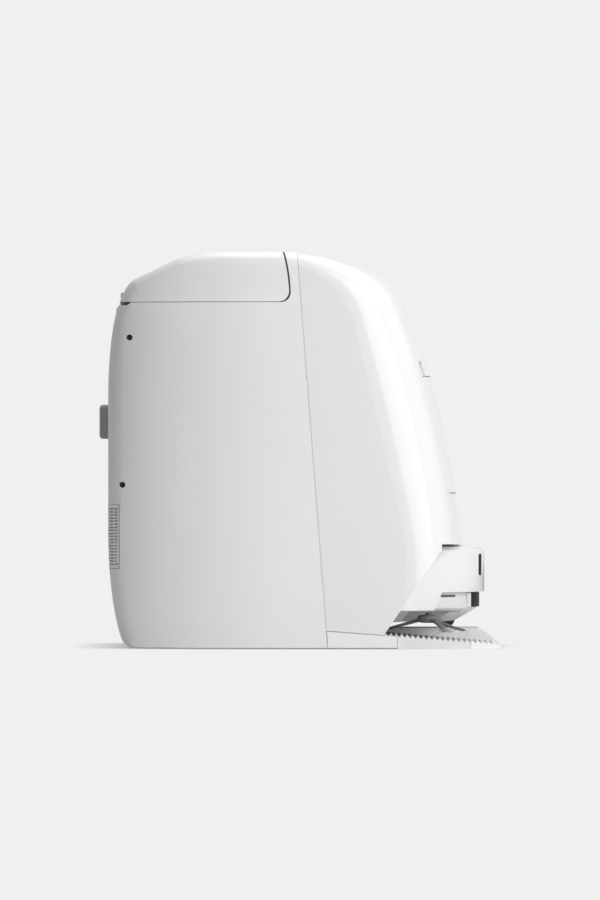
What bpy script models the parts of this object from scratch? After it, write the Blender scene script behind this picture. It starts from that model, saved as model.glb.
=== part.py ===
"""Robot vacuum and mop base station with its robot docked, as separate named solids.

Metres, +Z up. X runs from the wall side (-X) to the front (+X), Y is the width, and the whole
station is symmetric about Y = 0. The origin is under the middle of the overall box, on the floor.
"""
import math

import bmesh
import bpy
from mathutils import Vector

MM = 0.001

# station shell
HALF_WIDTH = 200 * MM
TOP_Z = 440 * MM
BACK_X = -213.4 * MM
FRONT_X = 181.5 * MM
FOOT_Z = 1.2 * MM
WALL = 3 * MM
GAP = 0.5 * MM

# corners of the shell: the rear ellipse (along X, along Y), where the front corner ends on the side,
# how far it spreads across the width, and which share of its fall belongs to the bulge of the face
REAR_CORNER = (190 * MM, 62 * MM)
CORNER_END_X = 118 * MM
FRONT_REACH = 48 * MM
FRONT_SPREAD = 40 * MM
ROOF_FILLET = 14 * MM
ROOF_CROWN = 0.1
FRONT_BULGE = 0.3

# lid, housings and door
HINGE_X = -194 * MM
HINGE_Z = 388 * MM
LID_RADIUS = 183 * MM
LID_SEAM_Z = 383 * MM
DOOR_HALF_WIDTH = 140 * MM
DOOR_LOW_Z = 172 * MM
DOOR_HIGH_Z = 301 * MM

# robot
ROBOT_X = 32 * MM
ROBOT_RADIUS = 175 * MM
ROBOT_TOP_Z = 113.6 * MM
ROBOT_FLOOR_Z = 28.5 * MM
SKIRT_RADIUS = 167 * MM
BUMPER_LOW_Z = 41 * MM
BUMPER_HIGH_Z = 109 * MM
RECESS_HIGH_Z = 61.5 * MM

# garage and tray
BAY_RADIUS = 180 * MM
BAY_CEILING_Z = 118.5 * MM
LINER_WALL = 2.5 * MM
RAIL_INNER_Y = 186 * MM
TRAY_HALF_WIDTH = 179.5 * MM
TRAY_BOTTOM_Z = 6 * MM
TRACK_Z = 16.4 * MM
PLATEAU_Z = 21 * MM
PLATEAU_HALF_WIDTH = 38 * MM
RAMP_TIP_X = 223.3 * MM
RAMP_SEAM_X = 108 * MM
TOOTH_PITCH = 6 * MM
TOOTH_DEPTH = 3 * MM

# water tanks: one on each side of the middle
TANK_BACK_X = -168 * MM
TANK_FRONT_X = -30 * MM
TANK_SIDES = (5 * MM, 164 * MM)
TANK_LOW_Z = 131 * MM
TANK_HIGH_Z = 364 * MM
BAIL_X = -99 * MM
BAIL_Z = 371 * MM
CAP_X = -60 * MM

# wheels, brushes and mops of the robot
WHEEL_Y = 112 * MM
WHEEL_RADIUS = 35 * MM
WHEEL_Z = TRACK_Z + 0.4 * MM + WHEEL_RADIUS
BRUSH_X = 82 * MM
BRUSH_Z = 45 * MM
BRUSH_RADIUS = 17 * MM
CASTER_X = 165 * MM
CASTER_RADIUS = 9 * MM
SIDE_BRUSH = (144 * MM, -110 * MM)
MOP_X = -54 * MM
MOP_Y = 73 * MM
MOP_RADIUS = 58 * MM
PAD_LOW_Z = 21.3 * MM

# where the shell is sliced, as shares of its half-width
FINE_SLICES = (0, 0.3, 0.58, 0.75, 0.86, 0.93, 0.965, 0.988, 1)
COARSE_SLICES = (0, 0.45, 0.72, 0.87, 0.94, 0.98, 1)


def clear_scene():
    for item in list(bpy.data.objects):
        bpy.data.objects.remove(item, do_unlink=True)


def material(name, colour, roughness, metallic=0.0):
    found = bpy.data.materials.get(name)
    if found:
        return found
    made = bpy.data.materials.new(name)
    made.use_nodes = True
    shader = made.node_tree.nodes["Principled BSDF"]
    shader.inputs["Base Color"].default_value = (*colour, 1.0)
    shader.inputs["Roughness"].default_value = roughness
    shader.inputs["Metallic"].default_value = metallic
    made.diffuse_color = (*colour, 1.0)
    return made


def satin_white():
    return material("satin_white", (0.80, 0.80, 0.80), 0.45)


def gloss_white():
    return material("gloss_white", (0.86, 0.86, 0.86), 0.12)


def dark_plastic():
    return material("dark_plastic", (0.03, 0.03, 0.032), 0.4)


def grey_plastic():
    return material("grey_plastic", (0.30, 0.30, 0.31), 0.5)


def pale_grey():
    return material("pale_grey", (0.62, 0.62, 0.62), 0.5)


def smoked_tank():
    return material("smoked_tank", (0.22, 0.24, 0.26), 0.1)


def black_rubber():
    return material("black_rubber", (0.02, 0.02, 0.02), 0.85)


def steel():
    return material("steel", (0.55, 0.55, 0.56), 0.3, 1.0)


def soft_fabric():
    return material("soft_fabric", (0.62, 0.63, 0.65), 0.95)


def circuit_green():
    return material("circuit_green", (0.03, 0.16, 0.07), 0.6)


def finish(name, mesh_data, look, smooth=True):
    item = bpy.data.objects.new(name, mesh_data)
    bpy.context.collection.objects.link(item)
    item.data.materials.clear()
    item.data.materials.append(look)
    if smooth:
        item.data.shade_smooth()
        item.data.set_sharp_from_angle(angle=math.radians(32))
    return item


def guide(mesh_data):
    item = bpy.data.objects.new("guide", mesh_data)
    bpy.context.collection.objects.link(item)
    return item


def combine(base_mesh, tool_mesh, how="DIFFERENCE"):
    """Boolean of two meshes, returned as a new mesh."""
    base = guide(base_mesh)
    tool = guide(tool_mesh)
    step = base.modifiers.new("combine", "BOOLEAN")
    step.operation = how
    step.object = tool
    bpy.context.view_layer.update()
    graph = bpy.context.evaluated_depsgraph_get()
    result = bpy.data.meshes.new_from_object(base.evaluated_get(graph))
    bpy.data.objects.remove(base, do_unlink=True)
    bpy.data.objects.remove(tool, do_unlink=True)
    return result


def combine_all(base_mesh, tools, how="DIFFERENCE"):
    for tool in tools:
        base_mesh = combine(base_mesh, tool, how)
    return base_mesh


def mesh_from(build):
    """Mesh of one bmesh that the given function fills."""
    shape = bmesh.new()
    build(shape)
    bmesh.ops.recalc_face_normals(shape, faces=shape.faces)
    made = bpy.data.meshes.new("shape")
    shape.to_mesh(made)
    shape.free()
    return made


def stack(rings):
    """Closed solid through rings of equal length, capped at both ends."""
    def build(shape):
        rows = []
        for ring in rings:
            rows.append([shape.verts.new(point) for point in ring])
        count = len(rings[0])
        for low, high in zip(rows, rows[1:]):
            for i in range(count):
                j = (i + 1) % count
                shape.faces.new((low[i], low[j], high[j], high[i]))
        shape.faces.new(rows[0])
        shape.faces.new(list(reversed(rows[-1])))
    return mesh_from(build)


def prism_y(points, y_low, y_high):
    return stack([[(x, y, z) for x, z in points] for y in (y_low, y_high)])


def prism_z(points, z_low, z_high):
    return stack([[(x, y, z) for x, y in points] for z in (z_low, z_high)])


def prism_x(points, x_low, x_high):
    return stack([[(x, y, z) for y, z in points] for x in (x_low, x_high)])


def box(x_low, x_high, y_low, y_high, z_low, z_high):
    corners = [(x_low, y_low), (x_high, y_low), (x_high, y_high), (x_low, y_high)]
    return prism_z(corners, z_low, z_high)


def arc(centre, radius, start, end, steps):
    """Points on an arc, angles in degrees from the first axis towards the second."""
    points = []
    for i in range(steps + 1):
        angle = math.radians(start + (end - start) * i / steps)
        points.append((centre[0] + radius * math.cos(angle), centre[1] + radius * math.sin(angle)))
    return points


def rounded_rectangle(low, high, radius, steps=4):
    points = []
    corners = (((high[0] - radius, high[1] - radius), 0), ((low[0] + radius, high[1] - radius), 90),
               ((low[0] + radius, low[1] + radius), 180), ((high[0] - radius, low[1] + radius), 270))
    for centre, start in corners:
        points += arc(centre, radius, start, start + 90, steps)
    return points


def rounded_box(x, y, z, radius, steps=4):
    """Upright block with rounded vertical edges; x, y and z are (low, high)."""
    return prism_z(rounded_rectangle((x[0], y[0]), (x[1], y[1]), radius, steps), z[0], z[1])


def bezier(start, pull_start, pull_end, end, steps):
    """Cubic curve from start to end, without its first point."""
    points = []
    for i in range(1, steps + 1):
        t = i / steps
        weights = ((1 - t) ** 3, 3 * t * (1 - t) ** 2, 3 * t * t * (1 - t), t ** 3)
        knots = (start, pull_start, pull_end, end)
        points.append(tuple(sum(w * k[axis] for w, k in zip(weights, knots)) for axis in (0, 1)))
    return points


def placed(axis, centre, radius, angle, height):
    """Point at a radius, an angle and a height in the frame of an axis through centre."""
    across = (radius * math.cos(angle), radius * math.sin(angle))
    if axis == "Z":
        offset = (across[0], across[1], height)
    elif axis == "Y":
        offset = (across[0], height, across[1])
    else:
        offset = (height, across[0], across[1])
    return tuple(c + o for c, o in zip(centre, offset))


def turned(profile, centre, segments=48, axis="Z", start=0.0, sweep=360.0):
    """Solid turned from a closed profile of (radius, height) around an axis through centre."""
    steps = segments if sweep < 360 else segments - 1
    rings = []
    for i in range(steps + 1):
        angle = math.radians(start + sweep * i / segments)
        rings.append([placed(axis, centre, radius, angle, height) for radius, height in profile])
    if sweep < 360:
        return stack(rings)

    def build(shape):
        rows = [[shape.verts.new(point) for point in ring] for ring in rings]
        count = len(profile)
        for k, row in enumerate(rows):
            after = rows[(k + 1) % len(rows)]
            for i in range(count):
                j = (i + 1) % count
                shape.faces.new((row[i], row[j], after[j], after[i]))
    return mesh_from(build)


def stepped(sections, centre, segments=24, axis="Z"):
    """Solid of revolution through (radius, height) sections, closed by flat ends."""
    turn = [2 * math.pi * i / segments for i in range(segments)]
    return stack([[placed(axis, centre, radius, angle, height) for angle in turn]
                  for radius, height in sections])


def cylinder(radius, centre, low, high, segments=24, axis="Z"):
    return stepped([(radius, low), (radius, high)], centre, segments, axis)


def shell_outline():
    """Side outline of the station, clockwise from the front end of the roof."""
    points = [(-18 * MM, TOP_Z)]
    points += bezier(points[-1], (42 * MM, 437 * MM), (98 * MM, 418 * MM), (115 * MM, 386 * MM), 7)
    points += bezier(points[-1], (147 * MM, 326 * MM), (178 * MM, 190 * MM), (FRONT_X, 115 * MM), 8)
    points += [(FRONT_X, 60 * MM), (FRONT_X, FOOT_Z)]
    points += [(x * MM, FOOT_Z) for x in (60, -40, -90, -130, -155, -172)]
    points += bezier(points[-1], (-184 * MM, 1.6 * MM), (-194 * MM, 2 * MM), (-198 * MM, 10 * MM), 3)
    points += bezier(points[-1], (-206 * MM, 30 * MM), (BACK_X, 75 * MM), (BACK_X, 130 * MM), 3)
    points += [(BACK_X, 200 * MM), (BACK_X, 280 * MM)]
    points += bezier(points[-1], (BACK_X, 315 * MM), (-210 * MM, 348 * MM), (-205 * MM, 369 * MM), 3)
    points += bezier(points[-1], (-201 * MM, 383 * MM), (-195 * MM, 402 * MM), (-184 * MM, 409 * MM), 3)
    points += [(-160 * MM, 420.5 * MM), (-135 * MM, 432 * MM)]
    points += bezier(points[-1], (-122 * MM, 436.5 * MM), (-100 * MM, TOP_Z), (-81 * MM, TOP_Z), 3)
    points += [(-50 * MM, TOP_Z)]
    return points


def outward(points, i):
    """Unit normal of a clockwise outline at point i."""
    before = Vector(points[i - 1])
    after = Vector(points[(i + 1) % len(points)])
    along = (after - before).normalized()
    return Vector((-along.y, along.x))


def flat_edge(points, normals):
    """Where the rounded corners end and the flat side wall starts, one point for each outline point."""
    edge = [(-18 * MM, TOP_Z - ROOF_FILLET)]
    edge += bezier(edge[-1], (12 * MM, 426 * MM), (45 * MM, 402 * MM), (59 * MM, 366 * MM), 7)
    edge += bezier(edge[-1], (79 * MM, 282 * MM), (99 * MM, 199 * MM), (CORNER_END_X, 115 * MM), 8)
    edge += [(CORNER_END_X, 60 * MM), (CORNER_END_X, FOOT_Z)]
    edge = [Vector(point) for point in edge]
    for point, normal in list(zip(points, normals))[len(edge):]:
        fall = Vector((normal.x, max(0.0, normal.y))) * ROOF_FILLET
        edge.append(Vector(point) - fall)
    return edge


def side_limit(x, half_width):
    """Half-width of the shell at x, narrowing towards the back as a quarter ellipse."""
    reach, spread = REAR_CORNER
    t = (x - BACK_X) / reach
    if t >= 1:
        return half_width
    return half_width - spread + spread * math.sqrt(max(0.0, 1 - (1 - max(0.0, t)) ** 2))


def shell_body(inset, slices, rings_per_side):
    """The whole station as one closed body, drawn in by inset."""
    outline = shell_outline()
    half_width = HALF_WIDTH - inset
    normals = [outward(outline, i) for i in range(len(outline))]
    drawn = [Vector(p) - n * inset for p, n in zip(outline, normals)]
    flats = flat_edge(drawn, normals)

    def ring_at(y):
        across = abs(y)
        ring = []
        for point, flat in zip(drawn, flats):
            fall = flat - point
            front = min(1.0, max(0.0, (fall.length - ROOF_FILLET) / FRONT_REACH))
            spread = ROOF_FILLET + front * (FRONT_SPREAD - ROOF_FILLET)
            bulge = ROOF_CROWN + front * (FRONT_BULGE - ROOF_CROWN)
            along = max(0.0, (across - (half_width - spread)) / spread)
            share = bulge * (across / half_width) ** 2
            share += (1 - bulge) * (1 - math.sqrt(max(0.0, 1 - along * along)))
            x, z = point + fall * share
            ring.append((x, y / half_width * side_limit(x - inset, half_width), z))
        return ring

    edge = ring_at(half_width)
    side = []
    for k in range(1, rings_per_side + 1):
        ring = []
        for x, _, z in edge:
            flat = Vector((x, z)).lerp(core_point(x, z), (k / rings_per_side) ** 1.7)
            ring.append((flat.x, side_limit(flat.x - inset, half_width), flat.y))
        side.append(ring)
    middle = [ring_at(share * half_width) for share in mirrored(slices)]
    left = [[(x, -y, z) for x, y, z in ring] for ring in reversed(side)]
    return stack(left + middle + side)


def core_point(x, z):
    """Where a line from the middle of the side wall to (x, z) crosses its flat core."""
    centre = Vector((30 * MM, 200 * MM))
    half = Vector((25 * MM, 130 * MM))
    reach = (Vector((x, z)) - centre).normalized()
    scale = min(half.x / max(abs(reach.x), 1e-6), half.y / max(abs(reach.y), 1e-6))
    return centre + reach * scale


def mirrored(values):
    return [-value for value in reversed(values[1:])] + list(values)


def hollow_shell():
    return combine(shell_body(0.0, FINE_SLICES, 4), shell_body(WALL, COARSE_SLICES, 4))


def seam_x(z):
    """The leaning seam between the rear and the front housing."""
    return 31.1 * MM - 0.0771 * z


def lid_region(radius, seam_z):
    """Side outline of the lid: front edge on an arc about the hinge, rounded lower corner."""
    corner = 11 * MM
    rise = math.asin((seam_z + corner - HINGE_Z) / radius)
    foot_x = HINGE_X + radius * math.cos(rise)
    points = [(-260 * MM, seam_z)]
    points += arc((foot_x - corner, seam_z + corner), corner, -90, 0, 4)
    points += arc((HINGE_X, HINGE_Z), radius, math.degrees(rise) + 2, 24, 5)
    points.append((-260 * MM, 470 * MM))
    return points


def side_holes():
    return ((-188 * MM, 344 * MM), (-196 * MM, 181 * MM))


def vent_window(inset):
    """The two corner windows of the vents, as (side, solid) pairs."""
    for side in (-1, 1):
        low, high = sorted((side * (122 * MM + inset), side * (190 * MM)))
        yield side, box(-230 * MM, -199 * MM - inset, low, high, 88 * MM + inset, 159.5 * MM - inset)


def grip_window(inset):
    outline = rounded_rectangle((-142 * MM + inset, 345 * MM + inset),
                                (142 * MM - inset, 363 * MM - inset), 8.4 * MM - inset, 4)
    return prism_x(outline, -230 * MM, -190 * MM)


def hinge_block(side, near, far, z_low, z_high):
    low, high = sorted((side * near, side * far))
    return box(HINGE_X - 4.5 * MM, HINGE_X + 5 * MM, low, high, z_low, z_high)


def hinge_bracket():
    """Side outline of the bracket that rises from the back wall to the lid's axis."""
    front = HINGE_X + 5 * MM
    back = HINGE_X - 4.5 * MM
    root = HINGE_X - 9.3 * MM
    return [(root, 368.5 * MM), (front, 373 * MM), (front, 393 * MM), (back, 393 * MM),
            (back, 381 * MM), (root, 376 * MM)]


def hinge_bore(side):
    low, high = sorted((side * 100 * MM, side * 145 * MM))
    return cylinder(2.1 * MM, (HINGE_X, 0, HINGE_Z), low, high, 16, "Y")


def lid_rest():
    """Upright wall just outside the lid's front edge, from side to side under the roof."""
    wall = arc((HINGE_X, HINGE_Z), LID_RADIUS + 4.2 * MM, -1.1, 20, 5)
    wall += list(reversed(arc((HINGE_X, HINGE_Z), LID_RADIUS + 1.7 * MM, -1.1, 20, 5)))
    return combine(shell_body(1 * MM, COARSE_SLICES, 4), prism_y(wall, -0.3, 0.3), "INTERSECT")


def make_rear_housing():
    top_z = 470 * MM
    rim_z = LID_SEAM_Z - 0.3 * MM
    region = [(-260 * MM, -10 * MM), (seam_x(-10 * MM) - GAP, -10 * MM), (seam_x(top_z) - GAP, top_z)]
    lid_edge = [(x, z) for x, z in lid_region(LID_RADIUS + 1.0 * MM, rim_z) if x > -40 * MM]
    region += list(reversed(lid_edge))
    region += [(-187 * MM, rim_z), (-190 * MM, 379.8 * MM), (-260 * MM, 379.8 * MM)]
    shape = combine(hollow_shell(), prism_y(region, -0.3, 0.3), "INTERSECT")
    shape = combine(shape, lid_rest(), "UNION")
    for x, y in foot_places():
        shape = combine(shape, cylinder(12.4 * MM, (x, y, 0), -5 * MM, 3 * MM, 20))
    for side in (-1, 1):
        low, high = sorted((side * 121 * MM, side * 129 * MM))
        shape = combine(shape, prism_y(hinge_bracket(), low, high), "UNION")
        shape = combine(shape, hinge_bore(side))
        for x, z in side_holes():
            low, high = sorted((side * 140 * MM, side * 190 * MM))
            shape = combine(shape, cylinder(3.3 * MM, (x, 0, z), low, high, 14, "Y"))
    for _, window in vent_window(0.0):
        shape = combine(shape, window)
    inlet_hole = box(-230 * MM, -200 * MM, 45 * MM, 79 * MM, 58 * MM, 86 * MM)
    shape = combine_all(shape, [grip_window(0.0), inlet_hole])
    finish("rear_housing", shape, satin_white())


def make_top_lid():
    region = lid_region(LID_RADIUS, LID_SEAM_Z + 0.3 * MM)
    shape = combine(hollow_shell(), prism_y(region, -0.3, 0.3), "INTERSECT")
    for side in (-1, 1):
        low, high = sorted((side * 120.4 * MM, side * 129.6 * MM))
        notch = box(HINGE_X - 12 * MM, HINGE_X + 6 * MM, low, high, 370 * MM, 395.5 * MM)
        shape = combine(shape, notch)
        ear = hinge_block(side, 110 * MM, 120.4 * MM, LID_SEAM_Z + 1 * MM, 394 * MM)
        shape = combine(shape, ear, "UNION")
        shape = combine(shape, hinge_bore(side))
    finish("top_lid", shape, satin_white())


def make_lid_pins():
    for side, label in ((1, "left"), (-1, "right")):
        low, high = sorted((side * 111 * MM, side * 128.5 * MM))
        pin = cylinder(1.8 * MM, (HINGE_X, 0, HINGE_Z), low, high, 12, "Y")
        finish("lid_hinge_pin_" + label, pin, steel())


def door_outline(inset):
    """Front door seen from the front, with two finger notches above its upper corners."""
    low = (-DOOR_HALF_WIDTH + inset, DOOR_LOW_Z + inset)
    high = (DOOR_HALF_WIDTH - inset, DOOR_HIGH_Z - inset)
    return rounded_rectangle(low, high, 14 * MM, 4)


def bay_cutter(inset, ceiling):
    """The garage: a half round back and straight sides, open to the front."""
    radius = BAY_RADIUS + inset
    plan = arc((ROBOT_X, 0), radius, 90, 270, 28)
    plan += [(150 * MM, -radius), (150 * MM, radius)]
    return prism_z(plan, -20 * MM, ceiling + inset)


def make_front_housing():
    region = [(seam_x(20 * MM) + GAP, 20 * MM), (93 * MM, 15.2 * MM), (161 * MM, 115 * MM)]
    region += [(200 * MM, 115 * MM), (260 * MM, 470 * MM), (seam_x(470 * MM) + GAP, 470 * MM)]
    upper = combine(shell_body(WALL, COARSE_SLICES, 4),
                    box(-0.3, 0.3, -0.3, 0.3, -20 * MM, BAY_CEILING_Z + 7 * MM))
    shape = combine(shell_body(0.0, FINE_SLICES, 4), upper)
    shape = combine(shape, prism_y(region, -0.3, 0.3), "INTERSECT")
    shape = combine(shape, bay_cutter(LINER_WALL + GAP, BAY_CEILING_Z))
    half_gate = BAY_RADIUS + LINER_WALL + GAP
    shape = combine(shape, box(140 * MM, 0.3, -half_gate, half_gate, -20 * MM, 115 * MM))
    shape = combine(shape, prism_x(door_outline(-0.6 * MM), 100 * MM, 220 * MM))
    for side in (-1, 1):
        low, high = sorted((side * 112 * MM, side * 139 * MM))
        notch = rounded_rectangle((low, 296 * MM), (high, 318 * MM), 6 * MM, 3)
        shape = combine(shape, prism_x(notch, 100 * MM, 200 * MM))
    finish("front_housing", shape, gloss_white())


def make_front_door():
    patch = prism_x(door_outline(0.0), 110 * MM, 220 * MM)
    finish("front_door", combine(hollow_shell(), patch, "INTERSECT"), gloss_white())


def make_small_shell_parts():
    for side, window in vent_window(0.4 * MM):
        label = "left" if side > 0 else "right"
        grille = combine(shell_body(1 * MM, FINE_SLICES, 4), shell_body(WALL, COARSE_SLICES, 4))
        grille = combine(grille, window, "INTERSECT")
        finish("vent_grille_" + label, grille, satin_white())
        for (x, z), place in zip(side_holes(), ("upper", "lower")):
            surface = side_limit(x, HALF_WIDTH)
            low, high = sorted((side * (surface - 11 * MM), side * (surface - 4 * MM)))
            plug = cylinder(3 * MM, (x, 0, z), low, high, 14, "Y")
            finish(f"screw_plug_{place}_{label}", plug, dark_plastic())
    cup = box(-200 * MM, -178 * MM, -146 * MM, 146 * MM, 340 * MM, 367 * MM)
    hollow = box(-210 * MM, -180.5 * MM, -143 * MM, 143 * MM, 343 * MM, 364 * MM)
    finish("rear_grip_cup", combine(cup, hollow), grey_plastic())
    spacer = rounded_rectangle((-55 * MM, 232 * MM), (55 * MM, 270 * MM), 6 * MM, 3)
    block = prism_x(spacer, -223.3 * MM, BACK_X - 0.3 * MM)
    finish("wall_spacer", block, grey_plastic())
    socket = box(-209 * MM, -184 * MM, 46 * MM, 78 * MM, 59 * MM, 85 * MM)
    pocket = box(-220 * MM, -194 * MM, 50 * MM, 74 * MM, 64 * MM, 80 * MM)
    finish("mains_inlet", combine(socket, pocket), dark_plastic())


def make_bay_liner():
    slant = [(-200 * MM, 6.5 * MM), (84.5 * MM, 6.5 * MM), (93 * MM, 15.2 * MM), (149 * MM, 97.6 * MM)]
    slant += [(149 * MM, 140 * MM), (-200 * MM, 140 * MM)]
    plan = bay_cutter(LINER_WALL, BAY_CEILING_Z)
    shape = combine(plan, bay_cutter(0.0, BAY_CEILING_Z))
    mouth = box(140 * MM, 160 * MM, -178 * MM, 178 * MM, 0.0, BAY_CEILING_Z)
    shape = combine(shape, mouth)
    shape = combine(shape, prism_y(slant, -0.3, 0.3), "INTERSECT")
    finish("bay_liner", shape, satin_white())


def make_base_plate():
    front = [(seam_x(-10 * MM) + GAP, -10 * MM), (RAMP_SEAM_X - 0.4 * MM, -10 * MM)]
    front += [(RAMP_SEAM_X - 0.4 * MM, 13.9 * MM), (93 * MM, 14.6 * MM)]
    front += [(seam_x(19.4 * MM) + GAP, 19.4 * MM)]
    block = combine(shell_body(0.0, COARSE_SLICES, 4), prism_y(front, -0.3, 0.3), "INTERSECT")
    trough = box(-50 * MM, 160 * MM, -RAIL_INNER_Y, RAIL_INNER_Y, 4.4 * MM, 60 * MM)
    block = combine(block, trough)
    for x, y in foot_places():
        block = combine(block, cylinder(12.4 * MM, (x, y, 0), -5 * MM, 3 * MM, 20))
    finish("base_plate", block, satin_white())


def foot_places():
    return [(x, y) for x in (-150 * MM, 80 * MM) for y in (-120 * MM, 120 * MM)]


def make_feet():
    names = ("foot_rear_right", "foot_rear_left", "foot_front_right", "foot_front_left")
    for name, (x, y) in zip(names, foot_places()):
        foot = stepped([(11 * MM, 0.0), (12 * MM, 1 * MM), (12 * MM, 2.7 * MM)], (x, y, 0), 20)
        finish(name, foot, black_rubber())


def track_outline():
    """Side outline of one toothed wheel track of the tray, down the entry ramp to its tip."""
    start_x = 94 * MM
    slope = (16.5 * MM - 6 * MM) / (RAMP_TIP_X - start_x)
    points = [(-146 * MM, TRAY_BOTTOM_Z), (-146 * MM, TRACK_Z), (-138 * MM, TRACK_Z)]
    points += [(-134 * MM, TRACK_Z - 4 * MM), (-14 * MM, TRACK_Z - 4 * MM), (-10 * MM, TRACK_Z)]
    points += [(88 * MM, TRACK_Z)]
    count = int((RAMP_TIP_X - start_x) / TOOTH_PITCH)
    for k in range(count):
        x = start_x + k * TOOTH_PITCH
        z = 16.5 * MM - slope * (x - start_x)
        points += [(x, z), (x + 1.5 * MM, z), (x + 4.5 * MM, z - TOOTH_DEPTH)]
    points += [(RAMP_TIP_X, 6 * MM - 3.2 * MM), (RAMP_TIP_X, 0.0)]
    points += [(RAMP_SEAM_X, 0.0), (RAMP_SEAM_X, TRAY_BOTTOM_Z)]
    return points


def plateau_outline():
    """Side outline of the raised middle of the tray."""
    return [(-140 * MM, TRAY_BOTTOM_Z + 0.5 * MM), (-140 * MM, 10 * MM), (-10 * MM, 10 * MM),
            (-2 * MM, 18 * MM), (60 * MM, PLATEAU_Z), (200 * MM, PLATEAU_Z),
            (RAMP_TIP_X - 1 * MM, 6 * MM), (RAMP_TIP_X - 1 * MM, 1 * MM),
            (RAMP_SEAM_X + 2 * MM, 1 * MM), (RAMP_SEAM_X + 2 * MM, TRAY_BOTTOM_Z + 0.5 * MM)]


def make_wash_tray():
    shape = prism_y(track_outline(), -192 * MM, 192 * MM)
    shape = combine(shape, prism_y(plateau_outline(), -PLATEAU_HALF_WIDTH, PLATEAU_HALF_WIDTH), "UNION")
    plan = arc((ROBOT_X, 0), TRAY_HALF_WIDTH, 90, 270, 24)
    half = [(RAMP_SEAM_X, TRAY_HALF_WIDTH), (RAMP_SEAM_X + 0.1 * MM, 191.5 * MM)]
    half += [(190 * MM, 191.5 * MM), (230 * MM, 150 * MM)]
    plan += [(x, -y) for x, y in half] + list(reversed(half))
    shape = combine(shape, prism_z(plan, -0.1, 0.2), "INTERSECT")
    finish("wash_tray", shape, pale_grey())


def sided(side, low, high):
    return tuple(sorted((side * low, side * high)))


def make_tank_well():
    stations = [x * MM for x in (-187.5, -178, -164, -144, -116, -76, -17)]
    edge = [(x, side_limit(x, HALF_WIDTH) - 6.6 * MM) for x in stations]
    plan = edge + [(x, -y) for x, y in reversed(edge)]
    deck = prism_z(plan, 377 * MM, 379.2 * MM)
    block = box(-174 * MM, -24 * MM, -169.5 * MM, 169.5 * MM, 126 * MM, 378 * MM)
    shape = combine(block, deck, "UNION")
    for side in (-1, 1):
        low, high = sided(side, 2 * MM, 167 * MM)
        shape = combine(shape, box(-171 * MM, -27 * MM, low, high, 128.5 * MM, 400 * MM))
    finish("tank_well", shape, grey_plastic())


def make_tank(name, side, look):
    y = sided(side, *TANK_SIDES)
    shape = rounded_box((TANK_BACK_X, TANK_FRONT_X), y, (TANK_LOW_Z, TANK_HIGH_Z), 14 * MM)
    for near in (22 * MM, 142 * MM):
        low, high = sided(side, near, near + 6 * MM)
        lug = box(BAIL_X - 6 * MM, BAIL_X + 6 * MM, low, high, TANK_HIGH_Z - 1 * MM, BAIL_Z + 5 * MM)
        shape = combine(shape, lug, "UNION")
    low, high = sided(side, 20 * MM, 150 * MM)
    shape = combine(shape, cylinder(2.4 * MM, (BAIL_X, 0, BAIL_Z), low, high, 12, "Y"))
    hollow_y = sided(side, TANK_SIDES[0] + 2 * MM, TANK_SIDES[1] - 2 * MM)
    hollow_x = (TANK_BACK_X + 2 * MM, TANK_FRONT_X - 2 * MM)
    shape = combine(shape, rounded_box(hollow_x, hollow_y, (TANK_LOW_Z + 2 * MM, TANK_HIGH_Z - 3 * MM),
                                       12 * MM))
    middle = side * 0.5 * (TANK_SIDES[0] + TANK_SIDES[1])
    mouth = cylinder(17 * MM, (CAP_X, middle, 0), TANK_HIGH_Z - 8 * MM, TANK_HIGH_Z + 8 * MM, 28)
    finish(name, combine(shape, mouth), look)
    sections = [(16.4 * MM, TANK_HIGH_Z - 2.6 * MM), (16.4 * MM, TANK_HIGH_Z + 0.4 * MM),
                (22 * MM, TANK_HIGH_Z + 0.4 * MM), (22 * MM, TANK_HIGH_Z + 6 * MM),
                (20 * MM, TANK_HIGH_Z + 8 * MM)]
    finish(name + "_cap", stepped(sections, (CAP_X, middle, 0), 28), dark_plastic())
    make_bail(name, side)


def make_bail(name, side):
    """U-shaped carrying handle that lies on the tank's lid and turns up about its two stubs."""
    near = 28.5 * MM
    far = 141.5 * MM
    reach = 46 * MM
    bar = 8 * MM
    top_z = BAIL_Z + 3 * MM
    plan = [(BAIL_X + 5 * MM, near), (BAIL_X - reach, near), (BAIL_X - reach, far)]
    plan += [(BAIL_X + 5 * MM, far), (BAIL_X + 5 * MM, far - 6 * MM), (BAIL_X - reach + bar, far - 6 * MM)]
    plan += [(BAIL_X - reach + bar, near + 6 * MM), (BAIL_X + 5 * MM, near + 6 * MM)]
    plan = [(x, side * y) for x, y in plan]
    shape = prism_z(plan, BAIL_Z - 4 * MM, top_z)
    for low, high in ((near - 5 * MM, near + 2 * MM), (far - 2 * MM, far + 5 * MM)):
        low, high = sided(side, low, high)
        shape = combine(shape, cylinder(2 * MM, (BAIL_X, 0, BAIL_Z), low, high, 12, "Y"), "UNION")
    finish(name + "_handle", shape, dark_plastic())


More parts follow.
